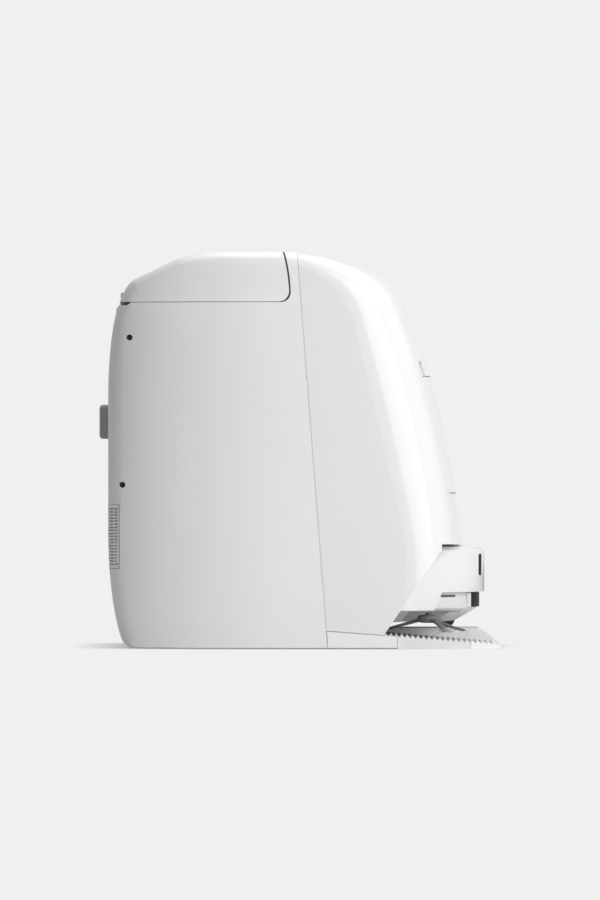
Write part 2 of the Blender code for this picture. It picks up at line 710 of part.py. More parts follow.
def make_dust_system():
    chamber = box(45 * MM, 131 * MM, -105 * MM, 105 * MM, 180 * MM, 292 * MM)
    chamber = combine(chamber, box(47.5 * MM, 140 * MM, -102.5 * MM, 102.5 * MM, 182.5 * MM, 289.5 * MM))
    port = cylinder(18 * MM, (0, 0, 236 * MM), 40 * MM, 50 * MM, 24, "X")
    finish("dust_chamber", combine(chamber, port), grey_plastic())
    collar = box(48 * MM, 50.5 * MM, -50 * MM, 50 * MM, 190 * MM, 282 * MM)
    mouth = cylinder(18 * MM, (0, 0, 236 * MM), 40 * MM, 60 * MM, 24, "X")
    finish("dust_bag_collar", combine(collar, mouth), material("card", (0.5, 0.42, 0.3), 0.9))
    rings = []
    for x, grow in ((51 * MM, 0.72), (58 * MM, 0.92), (80 * MM, 1.0), (108 * MM, 0.95), (121 * MM, 0.7)):
        outline = rounded_rectangle((-92 * MM * grow, -44 * MM * grow), (92 * MM * grow, 44 * MM * grow),
                                    24 * MM * grow, 4)
        rings.append([(x, y, 236 * MM + z) for y, z in outline])
    finish("dust_bag", stack(rings), soft_fabric())
    fan = [(26 * MM, 0.0), (34 * MM, 4 * MM), (34 * MM, 34 * MM), (24 * MM, 40 * MM), (24 * MM, 70 * MM)]
    finish("suction_fan", stepped(fan, (90 * MM, 40 * MM, 302 * MM), 24), dark_plastic())


def make_modules():
    psu = box(-203 * MM, -178 * MM, -60 * MM, 20 * MM, 130 * MM, 210 * MM)
    finish("power_supply", psu, steel())
    finish("control_board", box(5 * MM, 40 * MM, -150 * MM, -20 * MM, 300 * MM, 302 * MM), circuit_green())
    pump = [(14 * MM, 0.0), (14 * MM, 40 * MM), (9 * MM, 42 * MM), (9 * MM, 52 * MM)]
    finish("water_pump", stepped(pump, (-165 * MM, -90 * MM, 24 * MM), 20), dark_plastic())
    for side, label in ((1, "left"), (-1, "right")):
        y = sided(side, 8 * MM, 18 * MM)
        pad = box(-146.7 * MM, -143.4 * MM, y[0], y[1], 66 * MM, 76 * MM)
        finish("charge_contact_" + label, pad, steel())


def ring_sector(radii, heights, start, sweep, segments=54):
    """Part of an upright ring about the robot's axis; angles in degrees from +X."""
    inner, outer = radii
    low, high = heights
    chamfer = 5 * MM
    profile = [(inner, low), (outer, low), (outer, high - chamfer), (outer - 2.2 * MM, high), (inner, high)]
    return turned(profile, (ROBOT_X, 0, 0), segments, "Z", start, sweep)


def plain_sector(radii, heights, start, sweep):
    """Square-edged part of an upright ring about the robot's axis."""
    profile = [(radii[0], heights[0]), (radii[1], heights[0]), (radii[1], heights[1]), (radii[0], heights[1])]
    return turned(profile, (ROBOT_X, 0, 0), 72, "Z", start, sweep)


def make_robot_base():
    """Round tub with a bevelled foot and openings for wheels, brushes and mop shafts."""
    profile = [(142 * MM, ROBOT_FLOOR_Z), (SKIRT_RADIUS - 1 * MM, 43 * MM), (SKIRT_RADIUS, 44 * MM),
               (SKIRT_RADIUS, 62 * MM)]
    tub = stepped(profile, (ROBOT_X, 0, 0), 56)
    hollow = stepped([(139 * MM, ROBOT_FLOOR_Z + 3 * MM), (SKIRT_RADIUS - 3 * MM, 46.5 * MM),
                      (SKIRT_RADIUS - 3 * MM, 70 * MM)], (ROBOT_X, 0, 0), 56)
    shape = combine(tub, hollow)
    for side in (-1, 1):
        low, high = sided(side, WHEEL_Y - 18 * MM, WHEEL_Y + 18 * MM)
        shape = combine(shape, box(ROBOT_X - 42 * MM, ROBOT_X + 42 * MM, low, high, 20 * MM, 44 * MM))
        shape = combine(shape, cylinder(8 * MM, (MOP_X, side * MOP_Y, 0), 20 * MM, 40 * MM, 16))
    shape = combine(shape, box(BRUSH_X - 21 * MM, BRUSH_X + 21 * MM, -84 * MM, 84 * MM, 20 * MM, 44 * MM))
    shape = combine(shape, cylinder(21 * MM, (CASTER_X, 0, 0), 20 * MM, 44 * MM, 24))
    boss = combine(cylinder(34 * MM, (*SIDE_BRUSH, 0), 29 * MM, 43.5 * MM, 24),
                   cylinder(SKIRT_RADIUS - 1 * MM, (ROBOT_X, 0, 0), 20 * MM, 60 * MM, 56), "INTERSECT")
    shape = combine(shape, boss, "UNION")
    shape = combine(shape, cylinder(32 * MM, (*SIDE_BRUSH, 0), 20 * MM, 40 * MM, 24))
    finish("robot_base", shape, satin_white())


def make_robot_cover():
    radius = SKIRT_RADIUS + 2 * MM
    skin = [(radius, 64 * MM), (radius, 110.3 * MM), (radius - 16 * MM, ROBOT_TOP_Z)]
    outside = stepped(skin, (ROBOT_X, 0, 0), 64)
    inside = stepped([(radius - 2.5 * MM, 60 * MM), (radius - 2.5 * MM, 108.3 * MM),
                      (radius - 17 * MM, ROBOT_TOP_Z - 2.5 * MM)], (ROBOT_X, 0, 0), 64)
    radii = (SKIRT_RADIUS + 0.6 * MM, ROBOT_RADIUS)
    rear = ring_sector(radii, (BUMPER_LOW_Z, BUMPER_HIGH_Z), 99, 162)
    cover = combine(combine(outside, inside), rear, "UNION")
    finish("robot_top_cover", cover, gloss_white())


def make_bumper():
    radii = (ROBOT_RADIUS - 2.6 * MM, ROBOT_RADIUS)
    shape = ring_sector(radii, (BUMPER_LOW_Z, BUMPER_HIGH_Z), -95, 190)
    recess = [(300 * MM, 20 * MM), (300 * MM, RECESS_HIGH_Z), (155.5 * MM, RECESS_HIGH_Z)]
    recess += [(147.5 * MM, 36 * MM), (147.5 * MM, 20 * MM)]
    shape = combine(shape, prism_y(recess, -0.3, 0.3))
    for side, label in ((1, "left"), (-1, "right")):
        low, high = sided(side, 34.4 * MM, 49.4 * MM)
        shape = combine(shape, box(180 * MM, 240 * MM, low, high, 79.6 * MM, 103.4 * MM))
        low, high = sided(side, 34.8 * MM, 49 * MM)
        pane = plain_sector((radii[0] + 0.2 * MM, radii[1] - 0.4 * MM), (60 * MM, 125 * MM), -20, 40)
        pane = combine(pane, box(180 * MM, 240 * MM, low, high, 80 * MM, 103 * MM), "INTERSECT")
        finish("robot_window_" + label, pane, dark_plastic())
    finish("robot_bumper", shape, gloss_white())
    bar_radii = (SKIRT_RADIUS + 0.5 * MM, SKIRT_RADIUS + 2.5 * MM)
    sensor = plain_sector(bar_radii, (44.5 * MM, 60.5 * MM), -20, 40)
    finish("robot_sensor_bar", sensor, dark_plastic())


def make_wheels():
    for side, label in ((1, "left"), (-1, "right")):
        centre = (ROBOT_X, side * WHEEL_Y, WHEEL_Z)
        low, high = sided(side, -13 * MM, 11 * MM)
        tread = WHEEL_RADIUS
        sections = [(tread - 3 * MM, low), (tread, low + 4 * MM), (tread, high - 4 * MM),
                    (tread - 3 * MM, high)]
        wheel = stepped(sections, centre, 32, "Y")
        wheel = combine(wheel, cylinder(5 * MM, centre, -30 * MM, 30 * MM, 16, "Y"))
        finish("drive_wheel_" + label, wheel, black_rubber())
        low, high = sided(side, WHEEL_Y + 12 * MM, WHEEL_Y + 16 * MM)
        arm = box(ROBOT_X - 50 * MM, ROBOT_X + 8 * MM, low, high, WHEEL_Z - 7 * MM, WHEEL_Z + 9 * MM)
        stub_low, stub_high = sided(side, WHEEL_Y - 12 * MM, WHEEL_Y + 13 * MM)
        stub = cylinder(4.7 * MM, (ROBOT_X, 0, WHEEL_Z), stub_low, stub_high, 16, "Y")
        finish("wheel_arm_" + label, combine(arm, stub, "UNION"), grey_plastic())


def make_caster():
    fork = stepped([(15 * MM, 40 * MM), (16 * MM, 42 * MM), (16 * MM, 44 * MM), (4 * MM, 45 * MM),
                    (4 * MM, 58 * MM)], (CASTER_X, 0, 0), 24)
    axle_z = PLATEAU_Z + 0.4 * MM + CASTER_RADIUS
    for side in (-1, 1):
        low, high = sided(side, 7.5 * MM, 10 * MM)
        cheek = box(CASTER_X - 7 * MM, CASTER_X + 7 * MM, low, high, axle_z - 4 * MM, 41 * MM)
        fork = combine(fork, cheek, "UNION")
    fork = combine(fork, cylinder(1.9 * MM, (CASTER_X, 0, axle_z), -14 * MM, 14 * MM, 12, "Y"))
    slot = box(CASTER_X - 12 * MM, CASTER_X + 12 * MM, -7 * MM, 7 * MM, axle_z - 5 * MM, axle_z + 10.4 * MM)
    fork = combine(fork, slot)
    finish("caster_fork", fork, dark_plastic())
    sections = [(1.6 * MM, -9.6 * MM), (1.6 * MM, -6.4 * MM), (8 * MM, -6.4 * MM), (CASTER_RADIUS, -5 * MM),
                (CASTER_RADIUS, 5 * MM), (8 * MM, 6.4 * MM), (1.6 * MM, 6.4 * MM), (1.6 * MM, 9.6 * MM)]
    finish("caster_wheel", stepped(sections, (CASTER_X, 0, axle_z), 20, "Y"), black_rubber())


def brush_arm(angle, spine, half_width, thickness):
    """Flat drooping arm from the hub outwards; spine is (radius, height) points."""
    turn = math.radians(angle)
    along = Vector((math.cos(turn), math.sin(turn)))
    across = Vector((-along.y, along.x)) * half_width
    hub = Vector(SIDE_BRUSH)
    rings = []
    for radius, z in spine:
        middle = hub + along * radius
        a = middle + across
        b = middle - across
        rings.append([(a.x, a.y, z), (b.x, b.y, z), (b.x, b.y, z + thickness), (a.x, a.y, z + thickness)])
    return stack(rings)


def make_side_brush():
    hub = stepped([(9 * MM, 27.5 * MM), (13 * MM, 29 * MM), (13 * MM, 36 * MM), (4 * MM, 37 * MM),
                   (4 * MM, 39.4 * MM)], (*SIDE_BRUSH, 0), 24)
    spine = [(5 * MM, 30.5 * MM), (20 * MM, 30.5 * MM), (31 * MM, 25 * MM), (45 * MM, 21.5 * MM)]
    spine += [(60 * MM, 17.2 * MM)]
    for angle in (-65, 55, 175):
        hub = combine(hub, brush_arm(angle, spine, 4 * MM, 2.6 * MM), "UNION")
    finish("side_brush", hub, dark_plastic())
    motor = cylinder(15 * MM, (134 * MM, -100 * MM, 0), 44 * MM, 60 * MM, 20)
    finish("side_brush_motor", motor, grey_plastic())


def make_roller_brush():
    sections = [(4 * MM, -80 * MM), (4 * MM, -76 * MM), (BRUSH_RADIUS, -76 * MM), (BRUSH_RADIUS, 76 * MM),
                (4 * MM, 76 * MM), (4 * MM, 80 * MM)]
    finish("roller_brush", stepped(sections, (BRUSH_X, 0, BRUSH_Z), 24, "Y"), black_rubber())
    frame = box(BRUSH_X - 20 * MM, BRUSH_X + 20 * MM, -83 * MM, 83 * MM, 26.5 * MM, 66 * MM)
    hood = box(BRUSH_X - 18.2 * MM, BRUSH_X + 18.2 * MM, -81 * MM, 81 * MM, 20 * MM, 63.5 * MM)
    frame = combine(frame, hood)
    finish("roller_brush_housing", frame, dark_plastic())


def make_mops():
    for side, label in ((1, "left"), (-1, "right")):
        centre = (MOP_X, side * MOP_Y, 0)
        top = PAD_LOW_Z + 5 * MM
        disc = stepped([(MOP_RADIUS - 2 * MM, top + 0.3 * MM), (MOP_RADIUS - 2 * MM, top + 1.9 * MM),
                        (6 * MM, top + 1.9 * MM), (6 * MM, 58 * MM)], centre, 32)
        finish("mop_disc_" + label, disc, grey_plastic())
        pad = stepped([(MOP_RADIUS - 3 * MM, PAD_LOW_Z), (MOP_RADIUS, PAD_LOW_Z + 1.5 * MM),
                       (MOP_RADIUS, PAD_LOW_Z + 3.5 * MM), (MOP_RADIUS - 2 * MM, top)], centre, 32)
        finish("mop_pad_" + label, pad, soft_fabric())


def make_robot_insides():
    dustbox = rounded_box((-10 * MM, 55 * MM), (-75 * MM, 75 * MM), (64 * MM, 106 * MM), 8 * MM)
    finish("robot_dust_box", dustbox, smoked_tank())
    battery = box(-115 * MM, -75 * MM, -55 * MM, 55 * MM, 64 * MM, 92 * MM)
    finish("robot_battery", battery, dark_plastic())


def main():
    clear_scene()
    make_rear_housing()
    make_top_lid()
    make_lid_pins()
    make_front_housing()
    make_front_door()
    make_small_shell_parts()
    make_bay_liner()
    make_base_plate()
    make_feet()
    make_wash_tray()
    make_tank_well()
    make_tank("clean_tank", 1, material("clear_tank", (0.75, 0.80, 0.84), 0.1))
    make_tank("dirty_tank", -1, smoked_tank())
    make_dust_system()
    make_modules()
    make_robot_base()
    make_robot_cover()
    make_bumper()
    make_wheels()
    make_caster()
    make_side_brush()
    make_roller_brush()
    make_mops()
    make_robot_insides()


main()
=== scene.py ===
# Base station of a robot vacuum and mop, with the robot in its bay: looks around the CAD frame
import math
import random
import bmesh
import bpy
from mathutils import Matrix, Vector, noise


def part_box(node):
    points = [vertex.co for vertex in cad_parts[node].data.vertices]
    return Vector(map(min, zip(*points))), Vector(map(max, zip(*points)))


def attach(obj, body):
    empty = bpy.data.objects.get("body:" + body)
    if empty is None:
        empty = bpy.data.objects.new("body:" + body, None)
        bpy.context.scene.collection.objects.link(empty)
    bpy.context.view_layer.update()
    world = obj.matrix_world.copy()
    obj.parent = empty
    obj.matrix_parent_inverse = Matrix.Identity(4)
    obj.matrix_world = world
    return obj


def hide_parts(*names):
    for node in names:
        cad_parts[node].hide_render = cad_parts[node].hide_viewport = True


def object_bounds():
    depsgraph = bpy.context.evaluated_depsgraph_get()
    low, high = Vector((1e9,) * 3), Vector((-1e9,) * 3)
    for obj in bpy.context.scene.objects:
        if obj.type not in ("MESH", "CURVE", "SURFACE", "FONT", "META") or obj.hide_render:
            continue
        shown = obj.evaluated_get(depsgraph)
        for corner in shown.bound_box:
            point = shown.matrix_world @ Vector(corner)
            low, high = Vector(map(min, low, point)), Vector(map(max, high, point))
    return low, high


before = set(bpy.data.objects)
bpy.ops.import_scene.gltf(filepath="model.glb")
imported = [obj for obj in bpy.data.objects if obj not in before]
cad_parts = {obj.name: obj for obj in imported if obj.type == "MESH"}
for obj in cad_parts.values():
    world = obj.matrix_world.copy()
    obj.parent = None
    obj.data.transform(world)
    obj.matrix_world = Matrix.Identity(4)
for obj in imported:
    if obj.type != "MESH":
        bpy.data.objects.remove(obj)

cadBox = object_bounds()
mm = 0.001
dice = random.Random(7)

# camera, floor and sky
camera = {"distance": 12.0, "viewHeight": 0.9925, "sensor": 36.0}
middle = [(low + high) / 2 for low, high in zip(*cadBox)]
cameraData = bpy.data.cameras.new("sideCamera")
cameraData.sensor_width = camera["sensor"]
cameraData.lens = camera["sensor"] * camera["distance"] / camera["viewHeight"]
cameraData.clip_end = 60
sideCamera = bpy.data.objects.new("sideCamera", cameraData)
sideCamera.location = (middle[0] + 0.5 * mm, cadBox[0][1] - camera["distance"], middle[2] - 0.5 * mm)
sideCamera.rotation_euler = (math.pi / 2, 0, 0)
bpy.context.collection.objects.link(sideCamera)
bpy.context.scene.camera = sideCamera
bpy.context.scene.view_settings.view_transform = "Standard"


def addNode(tree, kind, **settings):
    node = tree.nodes.new(kind)
    for key, value in settings.items():
        if key in node.inputs:
            node.inputs[key].default_value = value
        else:
            setattr(node, key, value)
    return node


# contact and the value after it set the reach and the darkest glow of the painted contact shadow on the
# floor
studio = {
    "backdrop": 0.871, "ambient": 0.155, "mirrored": 0.85, "floor": 0.8, "floorSize": 40.0, "contact": 0.06,
    "contactShadowTone": 0.25,
}


def seenByCamera(tree, seen, lighting):
    # one value for the camera's own rays and another for the light that a surface gives off
    path = addNode(tree, "ShaderNodeLightPath")
    mix = addNode(tree, "ShaderNodeMixShader")
    tree.links.new(path.outputs["Is Camera Ray"], mix.inputs["Fac"])
    tree.links.new(lighting, mix.inputs[1])
    tree.links.new(seen, mix.inputs[2])
    return mix.outputs["Shader"]


def buildSky():
    world = bpy.data.worlds.new("paleStudio")
    world.use_nodes = True
    tree = world.node_tree
    seen = addNode(tree, "ShaderNodeBackground", Strength=studio["backdrop"])
    glow = tree.nodes["Background"]
    glow.inputs["Strength"].default_value = studio["ambient"]
    for node in (seen, glow):
        node.inputs["Color"].default_value = (1, 1, 1, 1)
    wall = addNode(tree, "ShaderNodeBackground", Strength=studio["mirrored"])
    wall.inputs["Color"].default_value = (1, 1, 1, 1)
    path = addNode(tree, "ShaderNodeLightPath")
    lit = addNode(tree, "ShaderNodeMixShader")  # pale studio walls in reflections, weaker fill for the rest
    tree.links.new(path.outputs["Is Glossy Ray"], lit.inputs["Fac"])
    tree.links.new(glow.outputs["Background"], lit.inputs[1])
    tree.links.new(wall.outputs["Background"], lit.inputs[2])
    mixed = seenByCamera(tree, seen.outputs["Background"], lit.outputs["Shader"])
    tree.links.new(mixed, tree.nodes["World Output"].inputs["Surface"])
    bpy.context.scene.world = world


def buildFloor():
    # plain pale floor with a painted contact shadow: its glow darkens where something stands close to it
    half = studio["floorSize"] / 2
    mesh = bpy.data.meshes.new("studioFloor")
    corners = [(-half, -half, 0), (half, -half, 0), (half, half, 0), (-half, half, 0)]
    mesh.from_pydata(corners, [], [(0, 1, 2, 3)])
    floor = bpy.data.objects.new("studioFloor", mesh)
    bpy.context.collection.objects.link(floor)
    paint = bpy.data.materials.new("floorPaint")
    paint.use_nodes = True
    tree = paint.node_tree
    shader = tree.nodes["Principled BSDF"]
    shader.inputs["Base Color"].default_value = (studio["floor"],) * 3 + (1,)
    shader.inputs["Roughness"].default_value = 0.9
    shader.inputs["Specular IOR Level"].default_value = 0.0
    # painted contact shadow: ambient occlusion lowers the floor's glow near the object
    close = addNode(tree, "ShaderNodeAmbientOcclusion", Distance=studio["contact"])
    tone = addNode(tree, "ShaderNodeEmission")
    shadowedGlow = addNode(tree, "ShaderNodeMapRange")
    shadowedGlow.inputs["To Min"].default_value = studio["contactShadowTone"]
    shadowedGlow.inputs["To Max"].default_value = studio["backdrop"]
    tree.links.new(close.outputs["AO"], shadowedGlow.inputs["Value"])
    tree.links.new(shadowedGlow.outputs["Result"], tone.inputs["Strength"])
    mixed = seenByCamera(tree, tone.outputs["Emission"], shader.outputs["BSDF"])
    tree.links.new(mixed, tree.nodes["Material Output"].inputs["Surface"])
    mesh.materials.append(paint)


def softbox(name, place, aim, size, power):
    lamp = bpy.data.lights.new(name, "AREA")
    lamp.shape = "RECTANGLE"
    lamp.size, lamp.size_y = size
    lamp.energy = power
    item = bpy.data.objects.new(name, lamp)
    item.location = place
    item.rotation_euler = (Vector(aim) - Vector(place)).to_track_quat("-Z", "Y").to_euler()
    bpy.context.collection.objects.link(item)
    item.visible_camera = False


buildSky()
buildFloor()
print("stage ready")

# finishes
def nodeGroup(name, inputs, outputs):
    group = bpy.data.node_groups.new(name, "ShaderNodeTree")
    for socket, kind, value in inputs:
        made = group.interface.new_socket(name=socket, in_out="INPUT", socket_type=kind)
        made.default_value = value
    for socket, kind in outputs:
        group.interface.new_socket(name=socket, in_out="OUTPUT", socket_type=kind)
    return group, group.nodes.new("NodeGroupInput"), group.nodes.new("NodeGroupOutput")


def noiseNode(tree, coords, scale, detail=3.0):
    node = addNode(tree, "ShaderNodeTexNoise")
    node.inputs["Detail"].default_value = detail
    tree.links.new(coords, node.inputs["Vector"])
    if isinstance(scale, (int, float)):
        node.inputs["Scale"].default_value = scale
    else:
        tree.links.new(scale, node.inputs["Scale"])
    return node


def rangeNode(tree, value, low, high):
    node = addNode(tree, "ShaderNodeMapRange")
    tree.links.new(value, node.inputs["Value"])
    for socket, end in (("To Min", low), ("To Max", high)):
        if isinstance(end, (int, float)):
            node.inputs[socket].default_value = end
        else:
            tree.links.new(end, node.inputs[socket])
    return node.outputs["Result"]


def buildMouldedGroup():
    # faint cloudiness of the resin, fine moulding texture, handling smears and rubbed edges
    colour, value = "NodeSocketColor", "NodeSocketFloat"
    group, into, out = nodeGroup(
        "mouldedSurface",
        [("Resin", colour, (0.8, 0.8, 0.8, 1)), ("Shade", colour, (0.7, 0.7, 0.7, 1)),
         ("Worn", colour, (0.9, 0.9, 0.9, 1)), ("Wear", value, 0.3), ("Grain Scale", value, 1800.0),
         ("Smooth", value, 0.3), ("Rough", value, 0.5)],
        [("Colour", colour), ("Roughness", value), ("Height", value)])
    link = group.links.new
    coords = addNode(group, "ShaderNodeTexCoord").outputs["Object"]
    cloud = noiseNode(group, coords, 7.0, 4.0)
    smear = noiseNode(group, coords, 23.0, 6.0)
    grain = noiseNode(group, coords, into.outputs["Grain Scale"], 2.0)
    tint = addNode(group, "ShaderNodeMix", data_type="RGBA")
    link(rangeNode(group, cloud.outputs["Fac"], 0.0, 0.6), tint.inputs["Factor"])
    link(into.outputs["Resin"], tint.inputs["A"])
    link(into.outputs["Shade"], tint.inputs["B"])
    edge = addNode(group, "ShaderNodeMapRange")
    edge.inputs["From Min"].default_value = 0.53
    edge.inputs["From Max"].default_value = 0.62
    link(addNode(group, "ShaderNodeNewGeometry").outputs["Pointiness"], edge.inputs["Value"])
    rubbed = addNode(group, "ShaderNodeMath", operation="MULTIPLY")
    link(edge.outputs["Result"], rubbed.inputs[0])
    link(into.outputs["Wear"], rubbed.inputs[1])
    worn = addNode(group, "ShaderNodeMix", data_type="RGBA")
    link(rubbed.outputs[0], worn.inputs["Factor"])
    link(tint.outputs["Result"], worn.inputs["A"])
    link(into.outputs["Worn"], worn.inputs["B"])
    link(worn.outputs["Result"], out.inputs["Colour"])
    link(rangeNode(group, smear.outputs["Fac"], into.outputs["Smooth"], into.outputs["Rough"]),
         out.inputs["Roughness"])
    link(grain.outputs["Fac"], out.inputs["Height"])
    return group


def buildPileGroup():
    # short soft pile or felt: tufts, loose fibres and soft soiling, with painted shade that darkens the dips
    # between tufts
    colour, value = "NodeSocketColor", "NodeSocketFloat"
    group, into, out = nodeGroup(
        "fibrePile",
        [("Fibre", colour, (0.7, 0.7, 0.7, 1)), ("Hollow Shade And Soil", colour, (0.4, 0.4, 0.4, 1)),
         ("Tuft Scale", value, 500.0), ("Fibre Scale", value, 2600.0)],
        [("Colour", colour), ("Roughness", value), ("Height", value)])
    link = group.links.new
    coords = addNode(group, "ShaderNodeTexCoord").outputs["Object"]
    tuft = addNode(group, "ShaderNodeTexVoronoi")
    link(coords, tuft.inputs["Vector"])
    link(into.outputs["Tuft Scale"], tuft.inputs["Scale"])
    fibre = noiseNode(group, coords, into.outputs["Fibre Scale"], 3.0)
    soil = noiseNode(group, coords, 30.0, 4.0)
    # painted shade and soiling: colour moves towards the dark fibre where the tufts dip, plus random soil
    # noise
    depth = addNode(group, "ShaderNodeMath", operation="ADD")
    link(tuft.outputs["Distance"], depth.inputs[0])
    link(rangeNode(group, soil.outputs["Fac"], -0.25, 0.25), depth.inputs[1])
    mix = addNode(group, "ShaderNodeMix", data_type="RGBA")
    link(depth.outputs[0], mix.inputs["Factor"])
    link(into.outputs["Fibre"], mix.inputs["A"])
    link(into.outputs["Hollow Shade And Soil"], mix.inputs["B"])
    link(mix.outputs["Result"], out.inputs["Colour"])
    link(rangeNode(group, soil.outputs["Fac"], 0.85, 1.0), out.inputs["Roughness"])
    relief = addNode(group, "ShaderNodeMath", operation="SUBTRACT")
    link(fibre.outputs["Fac"], relief.inputs[0])
    link(tuft.outputs["Distance"], relief.inputs[1])
    link(relief.outputs[0], out.inputs["Height"])
    return group


mouldedGroup = buildMouldedGroup()
pileGroup = buildPileGroup()


def surface(name, group, values, relief, distance, plain):
    # one material: the group's colour, roughness and relief, and plain values on the shader itself
    made = bpy.data.materials.new(name)
    made.use_nodes = True
    tree = made.node_tree
    shader = tree.nodes["Principled BSDF"]
    for socket, value in plain.items():
        shader.inputs[socket].default_value = value
    node = tree.nodes.new("ShaderNodeGroup")
    node.node_tree = group
    for socket, value in values.items():
        node.inputs[socket].default_value = (*value, 1.0) if isinstance(value, tuple) else value
    tree.links.new(node.outputs["Colour"], shader.inputs["Base Color"])
    tree.links.new(node.outputs["Roughness"], shader.inputs["Roughness"])
    bump = addNode(tree, "ShaderNodeBump", Strength=relief, Distance=distance)
    tree.links.new(node.outputs["Height"], bump.inputs["Height"])
    tree.links.new(bump.outputs["Normal"], shader.inputs["Normal"])
    return made


def moulded(name, tones, smooth, rough, wear=0.3, grain=1800.0, relief=0.12, **plain):
    # tones: the resin, its darker shade and its worn edge, each a colour or one grey level
    resin, shade, worn = (tone if isinstance(tone, tuple) else (tone, tone, tone) for tone in tones)
    values = {"Resin": resin, "Shade": shade, "Worn": worn, "Wear": wear, "Grain Scale": grain,
              "Smooth": smooth, "Rough": rough}
    return surface(name, mouldedGroup, values, relief, 0.1 * mm, plain)


satinShell = moulded("satinShell", (0.80, 0.76, 0.86), 0.38, 0.52)
glossShell = moulded("glossShell", (0.775, 0.76, 0.81), 0.06, 0.13, 0.2, 900.0, 0.01,
                     **{"Specular IOR Level": 0.22})
innerShell = moulded("innerShell", (0.72, 0.66, 0.8), 0.42, 0.6)
stoneGrey = moulded("stoneGrey", (0.30, 0.24, 0.42), 0.4, 0.6, 0.6)
trayGrey = moulded("trayGrey", (0.74, 0.69, 0.8), 0.4, 0.6, 0.5)
blackMoulding = moulded("blackMoulding", (0.028, 0.018, 0.12), 0.3, 0.5, 0.6)
brushGrey = moulded("brushGrey", (0.16, 0.11, 0.28), 0.4, 0.6, 0.5)
bristleNylon = moulded("bristleNylon", (0.12, 0.06, 0.2), 0.35, 0.5, 0.2)
windowBlack = moulded("windowBlack", (0.008, 0.005, 0.03), 0.05, 0.1, 0.2, 900.0, 0.01,
                      **{"Specular IOR Level": 0.1})
tyreRubber = moulded("tyreRubber", (0.022, 0.04, 0.09), 0.7, 0.92, 0.7, 900.0, 0.5)
brushedSteel = moulded("brushedSteel", (0.56, 0.48, 0.7), 0.22, 0.42, 0.4, 700.0, 0.15, Metallic=1.0)
boardGreen = moulded("boardGreen", ((0.02, 0.13, 0.05), (0.015, 0.09, 0.035), (0.2, 0.3, 0.1)), 0.3, 0.5)
pressedCard = moulded("pressedCard", ((0.47, 0.37, 0.25), (0.38, 0.29, 0.19), (0.6, 0.5, 0.36)), 0.8, 0.95,
                      0.4, 600.0, 0.6)
clearTank = moulded("clearTank", ((0.86, 0.91, 0.94), (0.82, 0.88, 0.92), 0.95), 0.03, 0.12, 0.1,
                    900.0, 0.02, **{"Transmission Weight": 0.85, "IOR": 1.49})
smokedTank = moulded("smokedTank", ((0.22, 0.24, 0.27), (0.17, 0.19, 0.22), 0.4), 0.04, 0.14, 0.1,
                     900.0, 0.02, **{"Transmission Weight": 0.6, "IOR": 1.49})
padPile = surface("padPile", pileGroup, {"Fibre": (0.55, 0.57, 0.60), "Hollow Shade And Soil": (0.24, 0.25, 0.28)},
                  0.8, 0.6 * mm, {"Sheen Weight": 0.3})
bagFelt = surface("bagFelt", pileGroup, {"Fibre": (0.83, 0.83, 0.80), "Hollow Shade And Soil": (0.66, 0.66, 0.62),
                                         "Tuft Scale": 900.0}, 0.5, 0.3 * mm, {"Sheen Weight": 0.2})
print("finishes ready")

# mesh tools: points and sizes are in millimetres, and loft turns them into metres
sides = ((1, "left"), (-1, "right"))


def boxOf(name):
    return [[value / mm for value in corner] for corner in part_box(name)]


def middleOf(low, high):
    return tuple((a + b) / 2 for a, b in zip(low, high))


def newPiece(name, mesh, finish, body, replaced=(), sharp=32):
    item = bpy.data.objects.new(name, mesh)
    bpy.context.collection.objects.link(item)
    mesh.materials.clear()
    mesh.materials.append(finish)
    mesh.shade_smooth()
    mesh.set_sharp_from_angle(angle=math.radians(sharp))
    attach(item, body)
    if replaced:
        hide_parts(*replaced)
    return item


def soften(item, width=0.25, segments=2, angle=40):
    # small moulded radius along the hard edges
    bevel = item.modifiers.new("mouldRadius", "BEVEL")
    bevel.width = width * mm
    bevel.segments = segments
    bevel.limit_method = "ANGLE"
    bevel.angle_limit = math.radians(angle)
    flow = item.modifiers.new("evenShading", "WEIGHTED_NORMAL")
    flow.keep_sharp = True
    return item


def meshOf(fill):
    work = bmesh.new()
    fill(work)
    bmesh.ops.recalc_face_normals(work, faces=work.faces)
    mesh = bpy.data.meshes.new("work")
    work.to_mesh(mesh)
    work.free()
    return mesh


def loft(rings, closed=False):
    # skin through rings of equal length, with end caps unless the rings close on themselves
    def fill(work):
        rows = [[work.verts.new([value * mm for value in point]) for point in ring] for ring in rings]
        count = len(rings[0])
        pairs = list(zip(rows, rows[1:]))
        if closed:
            pairs.append((rows[-1], rows[0]))
        for low, high in pairs:
            for i in range(count):
                j = (i + 1) % count
                work.faces.new((low[i], low[j], high[j], high[i]))
        if not closed:
            work.faces.new(rows[0])
            work.faces.new(list(reversed(rows[-1])))
    return meshOf(fill)


def slabY(points, low=-300, high=300):
    return loft([[(x, y, z) for x, z in points] for y in (low, high)])


def slabX(points, low, high):
    return loft([[(x, y, z) for y, z in points] for x in (low, high)])


def slabZ(points, low, high):
    return loft([[(x, y, z) for x, y in points] for z in (low, high)])


def block(xLow, xHigh, yLow, yHigh, zLow, zHigh):
    return slabZ([(xLow, yLow), (xHigh, yLow), (xHigh, yHigh), (xLow, yHigh)], zLow, zHigh)


def arcPoints(centre, radius, start, end, steps):
    angles = [math.radians(start + (end - start) * i / steps) for i in range(steps + 1)]
    return [(centre[0] + radius * math.cos(a), centre[1] + radius * math.sin(a)) for a in angles]


def roundedPlan(low, high, radius, steps=8):
    x = (low[0] + radius, high[0] - radius)
    y = (low[1] + radius, high[1] - radius)
    corners = (((x[1], y[1]), 0), ((x[0], y[1]), 90), ((x[0], y[0]), 180), ((x[1], y[0]), 270))
    points = []
    for centre, start in corners:
        points += arcPoints(centre, radius, start, start + 90, steps)
    return points


